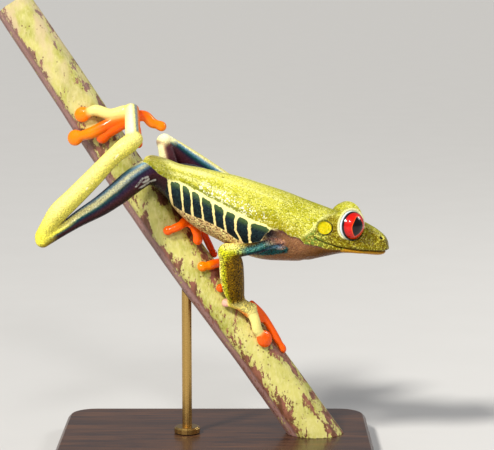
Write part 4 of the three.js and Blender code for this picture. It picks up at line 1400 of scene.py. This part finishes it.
    drum = s.mix(quick, look["drum"], look["back"])
    colour = s.mix(s.step(s.attribute("drum"), 0.0, 0.3), colour, drum)
    # A dark ring round the eardrum, darker on its lower front side: the rim's own dark colour with a painted
    # shadow crescent.
    rimOut, rimIn = s.step(s.attribute("drum"), -0.32, -0.14), s.step(s.attribute("drum"), 0.16, 0.0)
    ringShare = s.times(rimOut, rimIn)
    lean = s.minus(s.times(s.minus(lengthways, eardrum["at"][0] * mm), 0.75),
                   s.times(s.minus(height, eardrum["at"][2] * mm), 0.65))
    shade = s.scale(lean, -0.0006, 0.0012, 0.35, 1.0)
    colour = s.mix(s.times(ringShare, shade), colour, look["dark"])
    colour = s.mix(s.step(s.attribute("lidEdge"), 0.55, 0.3), colour, look["lid"])
    # The nostril: a paler ring on its raised rim, a painted highlight, round a dark hole, painted shade.
    rimOut, rimIn = s.step(s.attribute("nostril"), 0.82, 0.66), s.step(s.attribute("nostril"), 0.45, 0.6)
    ring = s.times(rimOut, rimIn)
    colour = s.mix(s.times(ring, 0.45), colour, look["backPale"])
    colour = s.mix(s.step(s.attribute("nostril"), 0.55, 0.4), colour, look["dark"])
    line = s.step(s.math("ABSOLUTE", s.attribute("mouth")), 0.17, 0.06)
    colour = s.mix(s.times(line, 0.85), colour, look["dark"])
    # Painted highlights: pale beads, broken up along the wet streaks, and short lines of light, painted into
    # the colour; they also raise the coat.
    wet = s.step(s.timesPlus(wobble, 2.5, s.attribute("wet")), 2.0, 0.6)
    broken = s.times(s.step(tone, 0.2, 0.45), s.step(tiny, -0.06, 0.02))
    gleam = s.step(s.timesPlus(wobble, 0.5, s.attribute("gleam")), 0.36, 0.12)
    gleam = s.times(gleam, s.step(s.noise(place, 1300.0, 2.0, 0.6), 0.36, 0.55))
    beads = s.math("MAXIMUM", s.times(wet, broken), s.times(gleam, look["gleam"]))
    colour = s.mix(s.times(beads, look["beads"]), colour, look["bead"])
    s.feed(shader.inputs["Base Color"], colour)

    bellyLift = s.times(edge("belly", -0.2, 0.2), look["bellyHeight"])
    lift = s.plus(s.times(fine.outputs["Height"], look["grainHeight"]),
                  s.times(coarse.outputs["Height"], bellyLift))
    smooth = s.step(s.attribute("limbGrain"), -0.2, -0.7)
    lift = s.times(lift, s.scale(s.math("MAXIMUM", wet, smooth), 0.0, 1.0, 1.0, look["wetBump"]))
    s.bump(shader, lift, look["bump"])
    s.feed(shader.inputs["Roughness"], s.scale(quick, 0.0, 1.0, *look["rough"]))
    sheen = s.scale(slow, 0.0, 1.0, 0.0, 0.12)
    sheen = s.timesPlus(tone, 0.14, sheen)
    sheen = s.times(sheen, s.scale(s.attribute("limbGrain"), 0.0, 1.0, 1.0, 0.3))
    sheen = s.timesPlus(smooth, 0.5, sheen)
    s.feed(shader.inputs["Coat Weight"], s.math("MAXIMUM", sheen, beads))
    shader.inputs["Coat Roughness"].default_value = look["coatRough"]
    shader.inputs["Coat IOR"].default_value = look["coatIor"]
    shader.inputs["Specular IOR Level"].default_value = look["specular"]
    return material


print("skin: shaping")
skin = makeSkin()
print("skin:", len(skin.data.polygons), "triangles; painting")
paintSkin(skin)
skin.data.materials.append(makeSkinMaterial())
fleshNodes = [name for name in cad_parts
              if not name.startswith(("stem", "stand_", "eye_"))]
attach(skin, "root")
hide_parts(*fleshNodes)


# The eyes: glossy balls with a red iris and an upright pointed pupil.
eyeLook = lookOf(
    iris=3.13,  # radius, mm
    pupilAt=-0.26,
    pupilHalf=1.48,
    pupilTall=2.3,
    pupilLean=-0.14,
    red=(224, 22, 4),
    redDeep=(180, 10, 3),
    glow=(255, 92, 18),
    pupil=(5, 5, 7),
    ring=(8, 10, 14),
    rimPale=(206, 218, 226),
    bulge=0.12,
    rings=48,
    spokes=96,
    rough=[0.22, 0.34],
    coatRough=0.02,
    coatIor=1.35,
    specular=0.15,
)


def makeEyeMaterial():
    material, s, shader, _ = startMaterial("eyeGloss", eyeLook["red"])
    look = eyeLook
    parts = s.node("ShaderNodeSeparateXYZ")
    s.feed(parts.inputs[0], s.attribute("gazePlace", "Vector"))
    across, up = parts.outputs[0], parts.outputs[1]
    out = s.math("SQRT", s.plus(s.times(across, across), s.times(up, up)))
    leaned = s.minus(s.minus(across, look["pupilAt"]), s.times(up, -look["pupilLean"]))
    wide = s.math("DIVIDE", s.math("ABSOLUTE", leaned), look["pupilHalf"])
    tall = s.math("POWER", s.math("DIVIDE", s.math("ABSOLUTE", up), look["pupilTall"]), 1.7)
    pupil = s.plus(s.math("POWER", wide, 1.25), tall)
    angle = s.math("ARCTAN2", up, across)
    spokes = s.node("ShaderNodeCombineXYZ")
    s.feed(spokes.inputs[0], s.times(angle, 9.0))
    s.feed(spokes.inputs[1], out)
    streak = s.noise(spokes.outputs[0], 1.4, 3.0, 0.6)
    red = s.mix(s.step(streak, 0.35, 0.7), look["red"], look["redDeep"])
    red = s.mix(s.step(out, 2.5, 3.1), red, look["redDeep"])
    glow = s.times(s.step(pupil, 1.22, 1.04), 0.8)
    colour = s.mix(glow, red, look["glow"])
    colour = s.mix(s.step(pupil, 1.04, 0.98), colour, look["pupil"])
    colour = s.mix(s.step(out, look["iris"] - 0.06, look["iris"] + 0.06), colour, look["ring"])
    colour = s.mix(s.step(out, look["iris"] + 0.2, look["iris"] + 0.34), colour, look["rimPale"])
    s.feed(shader.inputs["Base Color"], colour)
    s.feed(shader.inputs["Roughness"], s.scale(streak, 0.0, 1.0, *look["rough"]))
    shader.inputs["Coat Weight"].default_value = 1.0
    shader.inputs["Coat Roughness"].default_value = look["coatRough"]
    shader.inputs["Coat IOR"].default_value = look["coatIor"]
    shader.inputs["Specular IOR Level"].default_value = look["specular"]
    return material


def makeEye(side, material):
    sense = -1 if side == "right" else 1
    turn = np.array([1, sense, 1])
    middleOfEye = np.array([eye["at"][0], middle + sense * eye["at"][1], eye["at"][2]])
    gaze, forward, up = (eye[name] * turn for name in ("gaze", "forward", "up"))
    rings, spokes = eyeLook["rings"], eyeLook["spokes"]
    points = [middleOfEye + gaze * (eye["ball"] + eyeLook["bulge"])]
    places = [(0, 0, 1)]
    for i in range(1, rings):
        turnDown = math.pi * i / rings
        bulge = eyeLook["bulge"] * ease(0.9, 0.0, turnDown)
        r = eye["ball"] + bulge
        for k in range(spokes):
            angle = 2 * math.pi * k / spokes
            a, b, c = (math.sin(turnDown) * math.cos(angle), math.sin(turnDown) * math.sin(angle),
                       math.cos(turnDown))
            points.append(middleOfEye + r * (a * forward + b * up + c * gaze))
            places.append((a * eye["ball"], b * eye["ball"], c * eye["ball"]))
    points.append(middleOfEye - gaze * eye["ball"])
    places.append((0, 0, -1))
    faces = []
    for k in range(spokes):
        after = (k + 1) % spokes
        faces.append((0, 1 + k, 1 + after))
        for i in range(rings - 2):
            a, b = 1 + i * spokes, 1 + (i + 1) * spokes
            faces.append((a + k, b + k, b + after))
            faces.append((a + k, b + after, a + after))
        last = 1 + (rings - 2) * spokes
        faces.append((last + k, len(points) - 1, last + after))
    if np.dot(np.cross(forward, up), gaze) < 0:
        faces = [face[::-1] for face in faces]
    piece = meshOf("eyeball_" + side, np.array(points), faces)
    putValues(piece, "gazePlace", np.array(places))
    piece.data.materials.append(material)
    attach(piece, "root")
    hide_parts("eye_" + side)


print("eyes")
eyeMaterial = makeEyeMaterial()
for side in ("right", "left"):
    makeEye(side, eyeMaterial)


# The stem: a tapered stalk along a bent line, made by Geometry Nodes.
stemLook = lookOf(
    sides=72,
    rings=260,
    swell=0.00025,  # metres that its skin rises and falls
    ridge=0.00035,
    ribs=7,  # low ridges round it
    baseTop=0.005,  # metres above the floor, where it is cut level
    seed=7.0,
    bump=0.6,
    streakHigh=0.00016,
    lineDeep=0.0002,
    rough=[0.38, 0.56],
    stripEdges=[(-34, -40), (-104, -98)],  # degrees round it over which the strip comes and goes
    edgeLines=[(-38, 2.2, 1.0), (-62, 3.0, 0.7)],  # degrees: where, how wide; and how strong
    flesh=(204, 196, 108),
    pale=(224, 214, 150),
    green=(160, 158, 58),
    blotch=(92, 30, 26),
    blotchPale=(140, 74, 66),
    strip=(150, 112, 104),
    beige=(208, 186, 140),
    line=(60, 30, 22),
    # how blotchy it is round the stem, from its lower edge past the front to its upper edge, in degrees
    blotchiness=[(-180, 0.5), (-100, 0.6), (-75, 0.8), (-50, 0.8), (-24, 0.68), (0, 0.4), (24, 0.3),
                 (44, 0.6), (70, 0.72), (120, 0.45), (180, 0.5)],
)


def captured(s, name, geometry, value):
    kept = s.node("GeometryNodeCaptureAttribute", domain="POINT")
    kept.capture_items.new("FLOAT", name)
    s.feed(kept.inputs["Geometry"], geometry)
    s.feed(kept.inputs[name], value)
    return kept.outputs


def makeStemTree():
    tree = bpy.data.node_groups.new("stalk", "GeometryNodeTree")
    tree.is_modifier = True
    socketsOf(tree, [("Geometry", "Geometry", None), ("Top Radius", "Float", 0.00455),
                     ("Foot Radius", "Float", 0.00575), ("Swell", "Float", 0.0002),
                     ("Ridge", "Float", 0.0002), ("Rings", "Int", 200), ("Sides", "Int", 64),
                     ("Seed", "Float", 7.0), ("Material", "Material", None)], [("Geometry", "Geometry")])
    s = Sketch(tree)
    given = s.node("NodeGroupInput").outputs
    out = s.node("NodeGroupOutput").inputs
    line = s.join("GeometryNodeMeshToCurve", {"Mesh": given["Geometry"]}).outputs["Curve"]
    spline = s.join("GeometryNodeCurveSplineType", {"Curve": line}, spline_type="CATMULL_ROM")
    even = s.join("GeometryNodeResampleCurve", {"Curve": spline.outputs["Curve"], "Count": given["Rings"]})
    factor = s.node("GeometryNodeSplineParameter").outputs["Factor"]
    radius = s.scale(factor, 0.0, 1.0, given["Top Radius"], given["Foot Radius"])
    sized = s.join("GeometryNodeSetCurveRadius", {"Curve": even.outputs["Curve"], "Radius": radius})
    profile = s.join("GeometryNodeCurvePrimitiveCircle", {"Resolution": given["Sides"], "Radius": 1.0})
    around = captured(s, "Around", profile.outputs["Curve"],
                      s.node("GeometryNodeSplineParameter").outputs["Factor"])
    along = captured(s, "Along", sized.outputs["Curve"], factor)
    tube = s.join("GeometryNodeCurveToMesh", {"Curve": along["Geometry"], "Profile Curve": around["Geometry"],
                                              "Scale": radius, "Fill Caps": True})

    where = s.node("GeometryNodeInputPosition").outputs[0]
    slow = s.noise(s.vector("ADD", where, (0.3, 0.1, 0.0)), 120.0, 2.0)
    slow.node.noise_dimensions = "4D"
    s.feed(slow.node.inputs["W"], given["Seed"])
    ribs = s.math("SINE", s.times(around["Around"], 2 * math.pi * stemLook["ribs"]))
    lift = s.plus(s.times(s.minus(slow, 0.5), given["Swell"]), s.times(s.times(ribs, 0.25), given["Ridge"]))
    push = s.node("ShaderNodeVectorMath", operation="SCALE")
    s.feed(push.inputs[0], s.node("GeometryNodeInputNormal").outputs[0])
    s.feed(push.inputs["Scale"], lift)
    moved = s.join("GeometryNodeSetPosition", {"Geometry": tube.outputs["Mesh"], "Offset": push.outputs[0]})
    named = s.join("GeometryNodeStoreNamedAttribute", {"Geometry": moved.outputs["Geometry"], "Name": "along",
                                                       "Value": along["Along"]},
                   data_type="FLOAT", domain="POINT")
    whole = s.join("GeometryNodeRealizeInstances", {"Geometry": named.outputs["Geometry"]})
    finish = s.join("GeometryNodeSetMaterial", {"Geometry": whole.outputs["Geometry"],
                                                "Material": given["Material"]})
    s.feed(out["Geometry"], finish.outputs["Geometry"])
    return tree


def makeStemMaterial():
    material, s, shader, place = startMaterial("stalkSkin", stemLook["flesh"])
    look = stemLook
    patches = s.use(mottle, Place=place, Scale=150.0)
    lean = s.stretched(place, (1, 1, 0.45), (0, math.radians(-34), 0))  # the patches run along the stem
    streak = s.noise(lean, 1500.0, 3.0, 0.6)
    colour = s.mix(patches.outputs["Slow"], look["flesh"], look["green"])
    colour = s.mix(s.times(s.step(streak, 0.4, 0.7), 0.45), colour, look["pale"])
    high = s.step(s.attribute("along"), 0.3, 0.02)
    colour = s.mix(s.times(high, s.step(s.noise(lean, 260.0, 4.0), 0.4, 0.6)), colour, look["beige"])
    share = s.minus(s.attribute("blotchShare"), s.times(high, 0.25))
    spread = s.noise(lean, 360.0, 8.0, 0.74)
    level = s.plus(spread, s.times(s.minus(share, 0.5), 0.32))
    blotch = s.step(level, 0.53, 0.55)
    tone = s.mix(s.step(s.noise(lean, 700.0, 3.0), 0.42, 0.66), look["blotch"], look["blotchPale"])
    tone = s.mix(s.times(high, 0.6), tone, look["strip"])
    colour = s.mix(s.times(blotch, 0.92), colour, tone)
    dots = s.cells(place, 900.0)
    dotted = s.times(s.step(dots, 0.26, 0.14), s.step(s.noise(place, 300.0, 2.0), 0.45, 0.6))
    colour = s.mix(s.times(dotted, 0.75), colour, look["blotch"])
    strip = s.attribute("strip")
    colour = s.mix(s.times(strip, s.step(streak, 0.3, 0.5)), colour, look["strip"])
    colour = s.mix(s.times(s.attribute("edgeLine"), 0.8), colour, look["line"])
    s.feed(shader.inputs["Base Color"], colour)
    s.feed(shader.inputs["Roughness"], s.scale(streak, 0.0, 1.0, *look["rough"]))
    s.bump(shader, s.plus(s.times(streak, look["streakHigh"]),
                          s.times(s.attribute("edgeLine"), -look["lineDeep"])), look["bump"])
    return material


def paintStem(piece):
    points = pointsOf(piece)
    theta = np.zeros(len(points))
    best = np.full(len(points), 1e6)
    for _, way, _, v in stemParts(points):
        away = np.linalg.norm(v, axis=1)
        closer = away < best
        upper = unit((-way[2], 0, way[0]))
        theta[closer] = np.degrees(np.arctan2(v[closer] @ upper, -v[closer, 1]))
        best[closer] = away[closer]
    stops = np.array(stemLook["blotchiness"])
    starts, ends = stemLook["stripEdges"]
    lines = [share * hump(theta - at, wide) for at, wide, share in stemLook["edgeLines"]]
    putValues(piece, "blotchShare", np.interp(theta, stops[:, 0], stops[:, 1]))
    putValues(piece, "strip", ease(*starts, theta) * ease(*ends, theta))
    putValues(piece, "edgeLine", np.maximum.reduce(lines))


def makeStem():
    points = np.array([(x, 0, z) for x, z in stemShape["line"]]) * mm
    mesh = bpy.data.meshes.new("stalk")
    mesh.from_pydata([tuple(p) for p in points], [(k, k + 1) for k in range(len(points) - 1)], [])
    piece = addObject("stalk", mesh)
    tree = makeStemTree()
    grown = piece.modifiers.new("grown", "NODES")
    grown.node_group = tree
    values = {"Top Radius": stemShape["topRadius"] * mm, "Foot Radius": stemShape["footRadius"] * mm,
              "Swell": stemLook["swell"], "Ridge": stemLook["ridge"], "Rings": stemLook["rings"],
              "Sides": stemLook["sides"], "Seed": stemLook["seed"], "Material": makeStemMaterial()}
    for item in tree.interface.items_tree:
        if item.item_type == "SOCKET" and item.in_out == "INPUT" and item.name in values:
            grown[item.identifier] = values[item.name]
    settled(piece)
    # cut level where it stands on the base
    work = bmesh.new()
    work.from_mesh(piece.data)
    cut = bmesh.ops.bisect_plane(work, geom=work.verts[:] + work.edges[:] + work.faces[:],
                                 plane_co=(0, 0, stemLook["baseTop"]), plane_no=(0, 0, 1), clear_inner=True)
    bmesh.ops.contextual_create(work, geom=[e for e in cut["geom_cut"] if isinstance(e, bmesh.types.BMEdge)])
    bmesh.ops.recalc_face_normals(work, faces=work.faces)
    work.to_mesh(piece.data)
    work.free()
    piece.data.shade_smooth()
    paintStem(piece)
    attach(piece, "root")
    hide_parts("stem")


print("stem")
makeStem()


def makeWood():
    material, s, shader, place = startMaterial("darkWood", linear(70, 44, 28))
    stretch = s.stretched(place, (0.08, 1, 1))
    grain = s.noise(stretch, 900.0, 4.0, 0.6)
    slow = s.noise(stretch, 160.0, 2.0)
    colour = s.mix(s.step(grain, 0.3, 0.7), linear(52, 31, 20), linear(96, 62, 38))
    colour = s.mix(s.times(s.step(slow, 0.4, 0.7), 0.5), colour, linear(40, 24, 16))
    s.feed(shader.inputs["Base Color"], colour)
    s.feed(shader.inputs["Roughness"], s.scale(grain, 0.0, 1.0, 0.3, 0.5))
    s.bump(shader, s.times(grain, 0.0001), 0.3)
    shader.inputs["Coat Weight"].default_value = 0.35
    shader.inputs["Coat Roughness"].default_value = 0.15
    return material


def makeBrass():
    material, s, shader, place = startMaterial("brushedBrass", linear(196, 156, 84))
    brush = s.noise(s.stretched(place, (0.1, 0.1, 1)), 9000.0, 3.0)
    s.feed(shader.inputs["Base Color"], s.mix(brush, linear(176, 136, 70), linear(214, 178, 108)))
    s.feed(shader.inputs["Roughness"], s.scale(brush, 0.0, 1.0, 0.2, 0.36))
    shader.inputs["Metallic"].default_value = 1.0
    return material


print("stand")
for name, material in (("stand_base", makeWood()), ("stand_rod", makeBrass())):
    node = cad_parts[name]
    node.data.materials.clear()
    node.data.materials.append(material)


# The floor, the lights and the camera.
stage = {
    "floor": linear(206, 204, 200),
    "sky": (0.9, 0.93, 1.0),
    "skyStrength": 0.27,
    "eyePoint": (7.7, -445.6, 119.2),  # the camera, mm
    "target": (7.7, 0.0, 56.6),
    "lens": 135.5,
    "sensor": 36,
    "floorHalf": 2e4,  # mm
    "lampTarget": (0, 0, 0.06),  # metres
}

# Each lamp's kind, place in metres, strength, spread (degrees for a sun, metres for an area) and colour.
lamps = {
    "keyLight": ("SUN", (-0.5, -0.6, 0.7), 3.75, 9, (1.0, 0.98, 0.94)),
    "frontLight": ("AREA", (0.015, -0.42, 0.37), 1.0, 0.08, (1, 1, 1)),
    "backLight": ("AREA", (0.42, 0.16, 0.36), 0.7, 0.12, (1, 1, 1)),
}


def makeFloor():
    material, s, shader, place = startMaterial("paleFloor", stage["floor"])
    soft = s.noise(place, 40.0, 3.0)
    s.feed(shader.inputs["Base Color"], s.mix(soft, stage["floor"], linear(202, 200, 196)))
    shader.inputs["Roughness"].default_value = 0.7
    half = stage["floorHalf"]
    corners = [(-half, -half, 0), (half, -half, 0), (half, half, 0), (-half, half, 0)]
    piece = meshOf("floor", np.array(corners), [(0, 1, 2, 3)])
    piece.data.materials.append(material)


def makeLamp(name, kind, place, power, spread, colour):
    data = bpy.data.lights.new(name, kind)
    data.energy = power
    data.color = colour
    lamp = addObject(name, data)
    place = Vector(place)
    if kind == "SUN":
        data.angle = math.radians(spread)
        lamp.location = place * 0.5
        aim = -place
    else:
        data.size = spread
        lamp.location = place
        aim = Vector(stage["lampTarget"]) - place
    lamp.rotation_euler = aim.to_track_quat("-Z", "Y").to_euler()


def makeCamera():
    data = bpy.data.cameras.new("camera")
    data.lens = stage["lens"]
    data.sensor_width = stage["sensor"]
    data.sensor_fit = "HORIZONTAL"
    data.clip_start = 0.01
    data.clip_end = 100
    camera = addObject("camera", data)
    camera.location = Vector(stage["eyePoint"]) * mm
    aim = Vector(stage["target"]) * mm - camera.location
    camera.rotation_euler = aim.to_track_quat("-Z", "Y").to_euler()
    bpy.context.scene.camera = camera


print("stage")
makeFloor()
for name, lamp in lamps.items():
    makeLamp(name, *lamp)
world = bpy.data.worlds.new("studio")
bpy.context.scene.world = world
world.use_nodes = True
sky = world.node_tree.nodes["Background"].inputs
sky["Color"].default_value = (*stage["sky"], 1)
sky["Strength"].default_value = stage["skyStrength"]
makeCamera()
